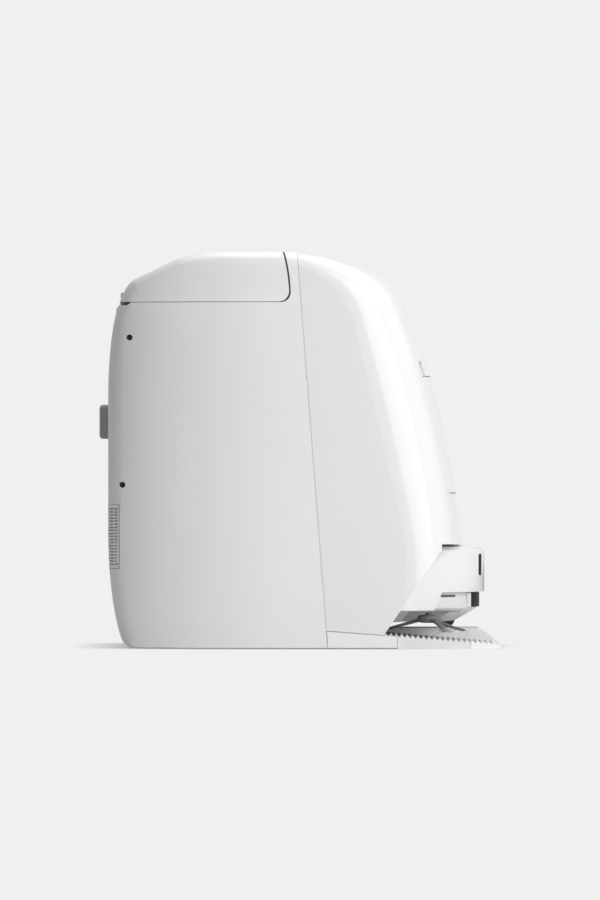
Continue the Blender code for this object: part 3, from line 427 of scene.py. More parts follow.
def curvePoints(start, pullStart, pullEnd, end, steps):
    points = []
    for i in range(1, steps + 1):
        t = i / steps
        weights = ((1 - t) ** 3, 3 * t * (1 - t) ** 2, 3 * t * t * (1 - t), t ** 3)
        knots = (start, pullStart, pullEnd, end)
        points.append(tuple(sum(w * k[axis] for w, k in zip(weights, knots)) for axis in (0, 1)))
    return points


def linePoints(start, end, steps):
    return [tuple(a + (b - a) * i / steps for a, b in zip(start, end)) for i in range(1, steps + 1)]


def aroundAxis(axis, centre, radius, angle, height):
    across = (radius * math.cos(angle), radius * math.sin(angle))
    offset = {"Z": (across[0], across[1], height), "Y": (across[0], height, across[1]),
              "X": (height, across[0], across[1])}[axis]
    return tuple(c + o for c, o in zip(centre, offset))


def turnedRing(profile, centre, segments=96, axis="Z", start=0.0, sweep=360.0):
    # closed profile of (radius, height) turned round an axis
    steps = segments if sweep < 360 else segments - 1
    angles = [math.radians(start + sweep * i / segments) for i in range(steps + 1)]
    rings = [[aroundAxis(axis, centre, r, a, h) for r, h in profile] for a in angles]
    return loft(rings, closed=sweep >= 360)


def turnedSolid(sections, centre, segments=64, axis="Z"):
    angles = [2 * math.pi * i / segments for i in range(segments)]
    return loft([[aroundAxis(axis, centre, r, a, h) for a in angles] for r, h in sections])


def cylinder(radius, low, high, centre, segments=64, axis="Z"):
    return turnedSolid([(radius, low), (radius, high)], centre, segments, axis)


def cut(baseMesh, toolMesh, how="DIFFERENCE"):
    pair = []
    for mesh in (baseMesh, toolMesh):
        item = bpy.data.objects.new("cutting", mesh)
        bpy.context.collection.objects.link(item)
        pair.append(item)
    step = pair[0].modifiers.new("cut", "BOOLEAN")
    step.operation = how
    step.object = pair[1]
    bpy.context.view_layer.update()
    graph = bpy.context.evaluated_depsgraph_get()
    result = bpy.data.meshes.new_from_object(pair[0].evaluated_get(graph))
    for item in pair:
        bpy.data.objects.remove(item, do_unlink=True)
    return result


def joined(meshes):
    # several separate meshes kept in one piece
    work = bmesh.new()
    for mesh in meshes:
        work.from_mesh(mesh)
    result = bpy.data.meshes.new("joined")
    work.to_mesh(result)
    work.free()
    return result


def between(side, low, high):
    return tuple(sorted((side * low, side * high)))


# shells of the station
shell = {
    "halfWidth": 200, "top": 440, "back": -213.4, "front": 181.5, "foot": 1.2,
    "wall": 3, "gap": 0.15, "rearCorner": (190, 62), "cornerEnd": 118,
    "frontReach": 48, "frontSpread": 40, "roofFillet": 14, "roofCrown": 0.1, "bulge": 0.3,
    "hinge": (-194, 388), "lidRadius": 183, "lidSeam": 383, "lidCorner": 11,
    "finer": 4,
}
slicesFine = [0, 0.15, 0.3, 0.45, 0.58, 0.68, 0.75, 0.8, 0.84, 0.87, 0.9, 0.925, 0.945, 0.96, 0.972, 0.982,
              0.99, 0.996, 1]
slicesPlain = [0, 0.45, 0.72, 0.87, 0.94, 0.98, 1]


def stationOutline(finer):
    top, back, front, foot = (shell[key] for key in ("top", "back", "front", "foot"))
    points = [(-18, top)]
    points += curvePoints(points[-1], (42, 437), (98, 418), (115, 386), 7 * finer)
    points += curvePoints(points[-1], (147, 326), (178, 190), (front, 115), 8 * finer)
    points += linePoints(points[-1], (front, 60), finer)
    points += linePoints(points[-1], (front, foot), finer)
    for x in (60, -40, -90, -130, -155, -172):
        points += linePoints(points[-1], (x, foot), finer)
    points += curvePoints(points[-1], (-184, 1.6), (-194, 2), (-198, 10), 3 * finer)
    points += curvePoints(points[-1], (-206, 30), (back, 75), (back, 130), 3 * finer)
    points += linePoints(points[-1], (back, 200), finer)
    points += linePoints(points[-1], (back, 280), finer)
    points += curvePoints(points[-1], (back, 315), (-210, 348), (-205, 369), 3 * finer)
    points += curvePoints(points[-1], (-201, 383), (-195, 402), (-184, 409), 3 * finer)
    points += linePoints(points[-1], (-160, 420.5), finer)
    points += linePoints(points[-1], (-135, 432), finer)
    points += curvePoints(points[-1], (-122, 436.5), (-100, top), (-81, top), 3 * finer)
    points += linePoints(points[-1], (-50, top), finer)
    return points


def flatWallEdge(points, normals, finer):
    # where the rounded corners end and the flat side wall starts, one point for each outline point
    edge = [(-18, shell["top"] - shell["roofFillet"])]
    edge += curvePoints(edge[-1], (12, 426), (45, 402), (59, 366), 7 * finer)
    edge += curvePoints(edge[-1], (79, 282), (99, 199), (shell["cornerEnd"], 115), 8 * finer)
    edge += linePoints(edge[-1], (shell["cornerEnd"], 60), finer)
    edge += linePoints(edge[-1], (shell["cornerEnd"], shell["foot"]), finer)
    edge += linePoints(edge[-1], (60, shell["foot"]), finer)
    edge = [Vector(point) for point in edge]
    for point, normal in list(zip(points, normals))[len(edge):]:
        fall = Vector((normal.x, max(0.0, normal.y))) * shell["roofFillet"]
        edge.append(Vector(point) - fall)
    return edge


def sideLimit(x, halfWidth):
    reach, spread = shell["rearCorner"]
    t = (x - shell["back"]) / reach
    if t >= 1:
        return halfWidth
    return halfWidth - spread + spread * math.sqrt(max(0.0, 1 - (1 - max(0.0, t)) ** 2))


def wallCore(x, z):
    # a small rectangle in the middle of the side wall that its rings shrink towards
    centre = Vector((30, 200))
    half = Vector((25, 130))
    reach = (Vector((x, z)) - centre).normalized()
    scale = min(half.x / max(abs(reach.x), 1e-6), half.y / max(abs(reach.y), 1e-6))
    return centre + reach * scale


def stationBody(inset, slices, rings, finer):
    outline = stationOutline(finer)
    halfWidth = shell["halfWidth"] - inset
    count = len(outline)
    normals = []
    for i in range(count):
        along = (Vector(outline[(i + 1) % count]) - Vector(outline[i - 1])).normalized()
        normals.append(Vector((-along.y, along.x)))
    drawn = [Vector(p) - n * inset for p, n in zip(outline, normals)]
    flats = flatWallEdge(drawn, normals, finer)
    fillet, reach, spreadMost = shell["roofFillet"], shell["frontReach"], shell["frontSpread"]

    def ringAt(y):
        across = abs(y)
        ring = []
        for point, flat in zip(drawn, flats):
            fall = flat - point
            front = min(1.0, max(0.0, (fall.length - fillet) / reach))
            spread = fillet + front * (spreadMost - fillet)
            bulge = shell["roofCrown"] + front * (shell["bulge"] - shell["roofCrown"])
            along = max(0.0, (across - (halfWidth - spread)) / spread)
            share = bulge * (across / halfWidth) ** 2
            share += (1 - bulge) * (1 - math.sqrt(max(0.0, 1 - along * along)))
            x, z = point + fall * share
            ring.append((x, y / halfWidth * sideLimit(x - inset, halfWidth), z))
        return ring

    edge = ringAt(halfWidth)
    wall = []
    for k in range(1, rings + 1):
        ring = []
        for x, _, z in edge:
            flat = Vector((x, z)).lerp(wallCore(x, z), (k / rings) ** 1.7)
            ring.append((flat.x, sideLimit(flat.x - inset, halfWidth), flat.y))
        wall.append(ring)
    rows = [-s for s in reversed(slices[1:])] + list(slices)
    centre = [ringAt(share * halfWidth) for share in rows]
    other = [[(x, -y, z) for x, y, z in ring] for ring in reversed(wall)]
    return loft(other + centre + wall)


outerBody = stationBody(0.0, slicesFine, 10, shell["finer"])
innerBody = stationBody(shell["wall"], slicesPlain, 5, 2)
hollowBody = cut(outerBody.copy(), innerBody.copy())
print("station body ready")


def seamAt(z):
    return 31.1 - 0.0771 * z


def lidSide(radius, seam, steps=12):
    corner = shell["lidCorner"]
    hingeX, hingeZ = shell["hinge"]
    rise = math.asin((seam + corner - hingeZ) / radius)
    footX = hingeX + radius * math.cos(rise)
    points = [(-260, seam)]
    points += arcPoints((footX - corner, seam + corner), corner, -90, 0, steps)
    points += arcPoints(shell["hinge"], radius, math.degrees(rise) + 0.5, 24, steps)
    points.append((-260, 470))
    return points


def lipBand(outer, inner, low, high, steps):
    # curved wall along the lid's front edge, between two distances from the lid's own radius
    wall = arcPoints(shell["hinge"], shell["lidRadius"] + outer, low, high, steps)
    wall += reversed(arcPoints(shell["hinge"], shell["lidRadius"] + inner, low, high, steps))
    return slabY(wall)


def cutPinHole(mesh, side):
    low, high = between(side, 100, 145)
    return cut(mesh, cylinder(2.1, low, high, (shell["hinge"][0], 0, shell["hinge"][1]), 24, "Y"))


ventWindow = {
    "near": 122, "far": 190, "front": -199, "low": 88, "high": 159.5, "slots": 19, "pitch": 3.4, "slot": 1.6,
}


def ventBlock(side, inset):
    low, high = between(side, ventWindow["near"] + inset, ventWindow["far"])
    return block(-230, ventWindow["front"] - inset, low, high, ventWindow["low"] + inset,
                 ventWindow["high"] - inset)


grip = {"half": 142, "low": 345, "high": 363, "corner": 8.4}
screw = {"radius": 3.0, "hole": 3.3, "depths": (11, 5.2, 4.6, 4), "recess": 6.5, "slot": (0.45, 1.9)}
screwPlaces = ((-188, 344), (-196, 181))
footPlaces = [(x, y) for x in (-150, 80) for y in (-120, 120)]


def makeRearShell():
    gap, seam = shell["gap"], shell["lidSeam"]
    rim, top = seam - 0.3, 470
    region = [(-260, -10), (seamAt(-10) - gap, -10), (seamAt(top) - gap, top)]
    region += reversed([p for p in lidSide(shell["lidRadius"] + 1.4, rim) if p[0] > -40])
    region += [(-187, rim), (-190, 379.8), (-260, 379.8)]
    mesh = cut(hollowBody.copy(), slabY(region), "INTERSECT")
    rest = cut(stationBody(1, slicesPlain, 4, 2), lipBand(4.2, 1.7, -1.1, 20, 16), "INTERSECT")
    mesh = cut(mesh, rest, "UNION")
    hingeX, hingeZ = shell["hinge"]
    bracket = [(hingeX - 9.3, 368.5), (hingeX + 5, 373), (hingeX + 5, 390)]
    bracket += arcPoints((hingeX + 0.3, 388.3), 4.7, 10, 170, 12)
    bracket += [(hingeX - 4.5, 381), (hingeX - 9.3, 376)]
    for x, y in footPlaces:
        mesh = cut(mesh, cylinder(12.4, -5, 3, (x, y, 0)))
    for side in (-1, 1):
        mesh = cut(mesh, slabY(bracket, *between(side, 121, 129)), "UNION")
        mesh = cut(mesh, ventBlock(side, 0.0))
        mesh = cutPinHole(mesh, side)
        for x, z in screwPlaces:
            low, high = between(side, 140, 190)
            mesh = cut(mesh, cylinder(screw["hole"], low, high, (x, 0, z), 32, "Y"))
    plan = roundedPlan((-grip["half"], grip["low"]), (grip["half"], grip["high"]), grip["corner"])
    mesh = cut(mesh, slabX(plan, -230, -190))
    mesh = cut(mesh, block(-230, -200, 45, 79, 58, 86))
    soften(newPiece("rearShell", mesh, satinShell, "station", ["rear_housing"]))


def makeLidSeal():
    # black lip seal that fills the gap along the lid's front edge
    mesh = cut(stationBody(0.7, slicesFine, 5, 2), lipBand(1.7, -0.4, 1.2, 20, 24), "INTERSECT")
    newPiece("lidSeal", mesh, tyreRubber, "station")


def makeLidShell():
    outline = lidSide(shell["lidRadius"] - 0.6, shell["lidSeam"] + 0.3)
    mesh = cut(hollowBody.copy(), slabY(outline), "INTERSECT")
    hingeX, hingeZ = shell["hinge"]
    for side in (-1, 1):
        low, high = between(side, 120.4, 129.6)
        mesh = cut(mesh, block(hingeX - 12, hingeX + 6, low, high, 370, 395.5))
        low, high = between(side, 110, 120.4)
        ear = block(hingeX - 4.5, hingeX + 5, low, high, 384, 394)
        mesh = cut(mesh, ear, "UNION")
        mesh = cutPinHole(mesh, side)
    soften(newPiece("waterLid", mesh, satinShell, "lid", ["top_lid"]))


bay = {"centre": 32, "radius": 180, "ceiling": 118.5, "liner": 2.5}


def bayBlock(inset):
    radius = bay["radius"] + inset
    plan = arcPoints((bay["centre"], 0), radius, 90, 270, 72)
    plan += [(150, -radius), (150, radius)]
    return slabZ(plan, -20, bay["ceiling"] + inset)


door = {"half": 140, "low": 172, "high": 301, "corner": 14}


def doorBlock(inset, xLow, xHigh):
    low = (inset - door["half"], door["low"] + inset)
    high = (door["half"] - inset, door["high"] - inset)
    return slabX(roundedPlan(low, high, door["corner"]), xLow, xHigh)


notch = {"near": 112, "far": 139, "low": 296, "high": 318, "corner": 6}


def cutDoorNotches(mesh):
    # finger notches above the door's two top corners
    for side in (-1, 1):
        near, far = between(side, notch["near"], notch["far"])
        plan = roundedPlan((near, notch["low"]), (far, notch["high"]), notch["corner"])
        mesh = cut(mesh, slabX(plan, 100, 200))
    return mesh


def makeFrontShell():
    top = 470
    region = [(seamAt(20) + shell["gap"], 20), (93, 15.2), (161, 115),
              (200, 115), (260, top), (seamAt(top) + shell["gap"], top)]
    hollow = cut(innerBody.copy(), block(-310, 310, -310, 310, -25, bay["ceiling"] + 7))
    mesh = cut(outerBody.copy(), hollow)
    mesh = cut(mesh, slabY(region), "INTERSECT")
    mesh = cut(mesh, bayBlock(bay["liner"] + 0.5))
    gate = bay["radius"] + bay["liner"] + 0.5
    mesh = cut(mesh, block(140, 300, -gate, gate, -21, 115.4))
    mesh = cutDoorNotches(cut(mesh, doorBlock(-0.8, 100, 220)))
    soften(newPiece("frontShell", mesh, glossShell, "station", ["front_housing"]))


def makeDoorPanel():
    mesh = cut(hollowBody.copy(), doorBlock(0.0, 110, 220), "INTERSECT")
    soften(newPiece("dustBagDoor", mesh, glossShell, "door", ["front_door"]), 0.5, 3)


def makeDoorSealAndShade():
    # dark foam seal in the joint round the door, which also stands in as painted shade in the door gap
    band = cut(stationBody(0.9, slicesPlain, 5, 2), stationBody(2.6, slicesPlain, 5, 2))
    band = cut(band, doorBlock(-0.7, 120, 220), "INTERSECT")
    band = cutDoorNotches(cut(band, doorBlock(0.1, 100, 230)))
    newPiece("doorSealAndGapShade", band, tyreRubber, "station")


def makeVentGrilles():
    for side, label in sides:
        mesh = cut(cut(stationBody(1, slicesFine, 4, 2), innerBody.copy()), ventBlock(side, 0.4),
                   "INTERSECT")
        slots = []
        first = ventWindow["low"] + (ventWindow["high"] - ventWindow["low"]
                                     - ventWindow["pitch"] * (ventWindow["slots"] - 1)) / 2
        for k in range(ventWindow["slots"]):
            z = first + k * ventWindow["pitch"]
            half = ventWindow["slot"] / 2
            for near, far in ((126, 137), (138.2, 149), (150.2, 170)):
                low, high = between(side, near, far)
                slots.append(block(-240, -201.5, low, high, z - half, z + half))
        mesh = cut(mesh, joined(slots))
        newPiece("ventGrille_" + label, mesh, satinShell, "station", ["vent_grille_" + label])


makeRearShell()
makeLidShell()
makeLidSeal()
makeFrontShell()
makeDoorPanel()
makeDoorSealAndShade()
makeVentGrilles()
print("shells ready")

# small pieces of the shell
scoop = {"depth": 9, "thick": 1.6}


def makeFingerScoops():
    # a hollowed cup behind each notch above the door, so a finger meets plastic and not the inside
    floor = shell["wall"] + scoop["depth"]
    for side, label in sides:
        low, high = between(side, 109, 142)
        outer = slabX(roundedPlan((low, 303), (high, 321), 6), 128, 166)
        cup = cut(stationBody(shell["wall"] + 0.4, slicesPlain, 5, 2),
                  stationBody(floor + scoop["thick"], slicesPlain, 5, 2))
        cup = cut(cup, outer, "INTERSECT")
        low, high = between(side, 110.6, 140.4)
        hollow = slabX(roundedPlan((low, 304.6), (high, 319.4), 5), 120, 180)
        hollow = cut(stationBody(0.0, slicesPlain, 5, 2), hollow, "INTERSECT")
        hollow = cut(hollow, stationBody(floor, slicesPlain, 5, 2))
        newPiece("fingerScoop_" + label, cut(cup, hollow), glossShell, "station")


def makeScrews():
    # recessed cross-head screws in the side holes
    for side, label in sides:
        for (x, z), place in zip(screwPlaces, ("upper", "lower")):
            surfaceY = sideLimit(x, shell["halfWidth"])
            y = [side * (surfaceY - depth) for depth in screw["depths"]]
            radii = (screw["radius"], screw["radius"], 2.6, 1.4)
            head = turnedSolid(list(zip(radii, y)), (x, 0, z), 32, "Y")
            low, high = sorted((side * (surfaceY - screw["recess"]), side * surfaceY))
            for wide, tall in (screw["slot"], screw["slot"][::-1]):
                head = cut(head, block(x - wide, x + wide, low, high, z - tall, z + tall))
            newPiece(f"caseScrew_{place}_{label}", head, blackMoulding, "station",
                     [f"screw_plug_{place}_{label}"])


inlet = {"depth": (-209, -184), "width": (46, 78), "height": (59, 85), "blades": (57.5, 66.5)}


def makeMainsInlet():
    # moulded socket with two round-nosed blades
    body = block(*inlet["depth"], *inlet["width"], *inlet["height"])
    pocket = slabX(roundedPlan((50, 64), (74, 80), 5), -220, -194)
    body = cut(body, pocket)
    soften(newPiece("inletBody", body, blackMoulding, "station", ["mains_inlet"]))
    for k, y in enumerate(inlet["blades"]):
        blade = slabX(roundedPlan((y - 1.1, 68.5), (y + 1.1, 75.5), 1.0), -203, -192)
        soften(newPiece(f"inletBlade_{k}", blade, brushedSteel, "station"), 0.3)


def makeWallSpacer():
    # block with tapered ends and a ribbed face towards the wall
    low, high = boxOf("wall_spacer")
    back, front = low[0], high[0]
    rings = []
    for share, grow in ((0.0, -3.2), (0.1, -1.2), (0.22, 0.0), (1.0, 0.0)):
        plan = roundedPlan((low[1] - grow, low[2] - grow), (high[1] + grow, high[2] + grow), 5)
        rings.append([(back + share * (front - back), y, z) for y, z in plan])
    mesh = loft(rings)
    for k in range(9):
        z = low[2] + 7 + 3 * k
        mesh = cut(mesh, block(back - 1, back + 0.8, low[1] + 8, high[1] - 8, z - 0.5, z + 0.5))
    newPiece("wallSpacer", mesh, stoneGrey, "station", ["wall_spacer"])


def makeFeet():
    # ringed rubber feet
    for name, (x, y) in zip(("rear_right", "rear_left", "front_right", "front_left"), footPlaces):
        sections = [(6, 0.6), (7, 0), (8.4, 0), (8.8, 0.5), (9.4, 0.5), (9.8, 0), (11.2, 0), (12, 0.8)]
        sections.append((12, 2.7))
        newPiece("rubberFoot_" + name, turnedSolid(sections, (x, y, 0), 64), tyreRubber, "station",
                 ["foot_" + name])


makeFingerScoops()
makeScrews()
makeMainsInlet()
makeWallSpacer()
makeFeet()
print("small shell parts ready")

# robot
robot = {
    "x": 32, "radius": 175, "skirt": 167, "top": 113.6, "low": 41, "high": 109, "recess": 61.5,
    "coverLow": 64, "groove": 0.7, "wheelY": 112, "rollerX": 82, "brush": (144, -110), "mop": (-54, 73),
}
robotCentre = (robot["x"], 0, 0)


def ringArc(radii, heights, start, sweep, edge=2.0, segments=180):
    inner, outer = radii
    low, high = heights
    # curved wall with a softened foot and a rounded top edge
    profile = [(inner, low + 0.4), (inner + 0.4, low), (outer - 0.8, low), (outer, low + 0.8)]
    profile += arcPoints((outer - edge, high - edge), edge, 0, 90, 8)
    profile += [(inner, high)]
    return turnedRing(profile, robotCentre, segments, "Z", start, sweep)


def makeRobotCover():
    # top skin with its rounded shoulder, a seam ring, two keys, and the fixed band behind the bumper
    radius = robot["skirt"] + 2
    top, low = robot["top"], robot["coverLow"]
    outer = [(radius, low), (radius, 107.5)]
    for angle in map(math.radians, range(10, 90, 10)):
        outer.append((radius - 5 + 5 * math.cos(angle), 107.5 + 4.6 * math.sin(angle)))
    outer += [(radius - 9, 112.6), (radius - 16, top - 0.35), (radius - 24, top)]
    skin = turnedSolid(outer, robotCentre, 160)
    hollow = turnedSolid([(radius - 2.5, low - 4), (radius - 2.5, 106),
                          (radius - 17, top - 2.6)], robotCentre, 120)
    skin = cut(skin, hollow)
    for r in (134, 158):
        floor = top - robot["groove"]
        groove = [(r, floor), (r + 0.8, floor), (r + 0.8, top + 2), (r, top + 2)]
        skin = cut(skin, turnedRing(groove, robotCentre, 160))
    band = ringArc((robot["skirt"] + 0.6, robot["radius"]), (robot["low"], robot["high"]), 99, 162)
    skin = cut(skin, band, "UNION")
    for y in (-13, 13):
        well = cylinder(8.4, top - 0.8, top + 2, (142, y, 0), 48)
        skin = cut(skin, well)
        sections = [(7.8, top - 0.7), (7.8, top - 0.4), (7.2, top - 0.1), (5, top - 0.25)]
        label = "home" if y > 0 else "start"
        newPiece(label + "Key", turnedSolid(sections, (142, y, 0), 48), satinShell, "robot")
    newPiece("robotCover", skin, glossShell, "robot", ["robot_top_cover"])


def makeRobotBumper():
    radii = (robot["radius"] - 2.6, robot["radius"])
    mesh = ringArc(radii, (robot["low"], robot["high"]), -95, 190)
    recess = [(300, 20), (300, robot["recess"]), (160.5, robot["recess"])]
    recess += arcPoints((160.5, robot["recess"] - 4), 4, 90, 157, 6)
    recess += [(147.5, 36), (147.5, 20)]
    mesh = cut(mesh, slabY(recess))
    for side in (-1, 1):
        low, high = between(side, 34.4, 49.4)
        window = slabX(roundedPlan((low, 79.6), (high, 103.4), 2.4), 180, 240)
        mesh = cut(mesh, window)
    newPiece("robotBumper", mesh, glossShell, "bumper", ["robot_bumper"])
    for side, label in sides:
        low, high = between(side, 34.7, 49.1)
        pane = ringArc((radii[0] + 0.2, radii[1] - 0.3), (60, 125), -20, 40, 0.5)
        window = slabX(roundedPlan((low, 79.9), (high, 103.1), 2.1), 180, 240)
        pane = cut(pane, window, "INTERSECT")
        replaced = ["robot_window_" + label]
        newPiece("sensorWindow_" + label, pane, windowBlack, "bumper", replaced)


brush = {
    "arms": (-65, 55, 175), "root": 6, "reach": 50, "level": 31.6, "droop": 12.8, "sweep": 9, "tufts": 34,
    "strand": 0.16,
}


def armHeight(share):
    # height of a rubber finger at this share of its reach
    return brush["level"] - brush["droop"] * max(0.0, share - 0.05) ** 0.9 / 0.95 ** 0.9


def sideBrushArm(angle, spine):
    # rubber finger: an oval tube that droops and bends towards its tip
    hub = Vector(robot["brush"])
    rings = []
    for radius, z, wide, thick, bend in spine:
        turn = math.radians(angle + bend)
        along = Vector((math.cos(turn), math.sin(turn)))
        across = Vector((-along.y, along.x))
        centre = hub + along * radius
        ring = []
        for k in range(16):
            a = 2 * math.pi * k / 16
            side = centre + across * (wide * math.cos(a))
            ring.append((side.x, side.y, z + thick * math.sin(a)))
        rings.append(ring)
    return loft(rings)


def makeSideBrush():
    x, y = robot["brush"]
    hub = turnedSolid([(4, 27.4), (9, 27.6), (12, 28.8), (13, 30.5),
                       (13, 34.3), (11.5, 36), (3.8, 36.8), (3.8, 39)],
                      (x, y, 0), 64)
    spine = []
    for share in (0.0, 0.15, 0.3, 0.42, 0.54, 0.66, 0.78, 0.9, 1.0):
        bend = -brush["sweep"] * share * share
        spine.append((brush["root"] + brush["reach"] * share, armHeight(share), 4.4 - 1.6 * share,
                      2.3 - 1.2 * share, bend))
    mesh = hub
    for angle in brush["arms"]:
        mesh = cut(mesh, sideBrushArm(angle, spine), "UNION")
    newPiece("sideBrush", mesh, brushGrey, "side_brush_rotor", ["side_brush"])
    tufts = bpy.data.curves.new("brushBristles", "CURVE")
    tufts.dimensions = "3D"
    tufts.bevel_depth = brush["strand"] * mm
    tufts.bevel_resolution = 1
    for angle in brush["arms"]:
        for _ in range(brush["tufts"]):
            start = dice.uniform(0.5, 0.98)
            base = math.radians(angle - brush["sweep"] * start * start)
            tip = base + math.radians(dice.uniform(-9, 9))
            radius = brush["root"] + brush["reach"] * start
            length = dice.uniform(6, 10)
            z = armHeight(start)
            last = (min(radius + length, 60.5), max(17.4, z - dice.uniform(2, 5)))
            strand = tufts.splines.new("POLY")
            strand.points.add(2)
            path = [(radius, base, z), ((radius + last[0]) / 2, (base * 2 + tip) / 3, z - 1),
                    (last[0], tip, last[1])]
            for point, (r, a, height) in zip(strand.points, path):
                point.co = ((x + r * math.cos(a)) * mm, (y + r * math.sin(a)) * mm, height * mm, 1)
    tufts.materials.append(bristleNylon)
    item = bpy.data.objects.new("brushBristles", tufts)
    bpy.context.collection.objects.link(item)
    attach(item, "side_brush_rotor")


makeRobotCover()
makeRobotBumper()
makeSideBrush()
print("robot shell ready")


def makeRobotBase():
    # round tub with a bevelled foot; wells for the wheels, brushes, caster and mop shafts
    low, skirt = 28.5, robot["skirt"]
    profile = [(140, low), (142, low + 0.4), (skirt - 1.6, 42.4), (skirt - 0.4, 43.6)]
    profile += [(skirt, 45), (skirt, 62)]
    tub = turnedSolid(profile, robotCentre, 160)
    hollow = turnedSolid([(137, low + 3), (skirt - 3, 46.5), (skirt - 3, 70)], robotCentre, 120)
    mesh = cut(tub.copy(), hollow)
    for side in (-1, 1):
        near, far = between(side, robot["wheelY"] - 18, robot["wheelY"] + 18)
        well = slabZ(roundedPlan((robot["x"] - 42, near), (robot["x"] + 42, far), 6), 20, 44)
        mesh = cut(mesh, well)
        shaft = cylinder(8, 20, 40, (robot["mop"][0], side * robot["mop"][1], 0), 40)
        mesh = cut(mesh, shaft)
    rollerX = robot["rollerX"]
    mesh = cut(mesh, block(rollerX - 21, rollerX + 21, -84, 84, 20, 44))
    mesh = cut(mesh, cylinder(21, 20, 44, (165, 0, 0), 64))
    place = (*robot["brush"], 0)
    boss = cut(cylinder(34, 20, 43.5, place, 72), tub, "INTERSECT")
    mesh = cut(mesh, boss, "UNION")
    mesh = cut(mesh, cylinder(32, 19, 40, place, 72))
    newPiece("robotBase", mesh, innerShell, "robot", ["robot_base"])


def makeSkirtDetails():
    # strips and ribs around the foot of the robot: two black strips painted as shade, one in the gap under
    # the bumper and one beneath the recess panel, and pale ribs
    skirt = robot["skirt"]
    for side, label in sides:
        for name, inner, outer, low, high, angles, finish, slot in (
                # painted shadow: black strip where the gap under the bumper's edge lies in shade
                ("gapShadowStrip", skirt - 0.6, skirt + 0.5, 56, 58.4, (32.5, 41.5), blackMoulding,
                 "dark_plastic"),
                # painted shadow: black line where shade falls beneath the recess panel
                ("panelShadowLine", 159.2, 161.6, 39.6, 40.7, (24.5, 34), blackMoulding, "dark_plastic"),
                ("sensorRib", skirt + 0.2, skirt + 3.2, 44.6, 60.4, (20.6, 23.2), glossShell, "gloss_white"),
        ):
            start = angles[0] if side > 0 else -angles[1]
            profile = [(inner, low), (outer, low), (outer, high), (inner, high)]
            ring = turnedRing(profile, robotCentre, 60, "Z", start, angles[1] - angles[0])
            newPiece(f"{name}_{label}", ring, finish, "robot")


wheel = {"radius": 35, "treads": 30, "treadDepth": 1.6}


def makeDriveWheels():
    for side, label in sides:
        low, high = boxOf("drive_wheel_" + label)
        centre = middleOf(low, high)
        half = (high[1] - low[1]) / 2
        radius = wheel["radius"]
        profile = [(24, -half + 1), (radius - 4, -half), (radius - 1.4, -half + 2),
                   (radius, -half + 5), (radius, half - 5), (radius - 1.4, half - 2),
                   (radius - 4, half), (24, half - 1)]
        tyre = turnedRing(profile, centre, 120, "Y")
        grooves = []
        for k in range(wheel["treads"]):
            for end in (-1, 1):
                turn = 2 * math.pi * (k + 0.25 * end) / wheel["treads"]
                ring = []
                for r, w in ((radius - wheel["treadDepth"], 1.3), (radius + 2, 1.6)):
                    row = []
                    for y, lead in ((end * 1.2, 0.0), (end * (half + 1), 0.16)):
                        for s in (-1, 1):
                            a = turn + lead + s * w / radius
                            row.append(aroundAxis("Y", centre, r, a, y))
                    ring.append([row[0], row[1], row[3], row[2]])
                grooves.append(loft(ring))
        tyre = cut(tyre, joined(grooves))
        body = "wheel_" + label
        newPiece("tyre_" + label, tyre, tyreRubber, body, ["drive_wheel_" + label])
        rim = turnedRing([(5.2, -half + 1.5), (22, -half + 1.5), (24, -half + 0.8),
                          (24, half - 0.8), (22, half - 1.5), (5.2, half - 1.5)],
                         centre, 72, "Y")
        holes = []
        for k in range(6):
            a = math.radians(60 * k)
            spot = (centre[0] + 14 * math.cos(a), centre[1], centre[2] + 14 * math.sin(a))
            holes.append(cylinder(4.2, -20, 20, spot, 28, "Y"))
        newPiece("wheelRim_" + label, cut(rim, joined(holes)), stoneGrey, body)


roller = {"core": 11, "outer": 16.8, "fins": 6, "twist": 150, "length": 76}


def makeRollerBrush():
    # core with twisted rubber fins, and end stubs
    low, high = boxOf("roller_brush")
    centre = middleOf(low, high)
    span, core, outer = roller["length"], roller["core"], roller["outer"]
    sections = [(4, -80), (4, -span), (core - 1, -span), (core, 1 - span),
                (core, span - 1), (core - 1, span), (4, span), (4, 80)]
    parts = [turnedSolid(sections, centre, 64, "Y")]
    for k in range(roller["fins"]):
        rings = []
        for i in range(61):
            share = i / 60
            y = -span + 0.5 + share * (2 * span - 1)
            bend = roller["twist"] * abs(share - 0.5)
            a = math.radians(360 * k / roller["fins"] + bend)
            row = []
            for r, w in ((core - 1, 1.3), (outer, 0.6)):
                for s in (-1, 1):
                    row.append((centre[0] + r * math.cos(a) - s * w * math.sin(a), y,
                                centre[2] + r * math.sin(a) + s * w * math.cos(a)))
            rings.append([row[0], row[1], row[3], row[2]])
        parts.append(loft(rings))
    newPiece("rollerBrush", joined(parts), tyreRubber, "roller", ["roller_brush"])


mopPad = {"pileStep": 1.6, "pile": 0.9, "stitch": 46}


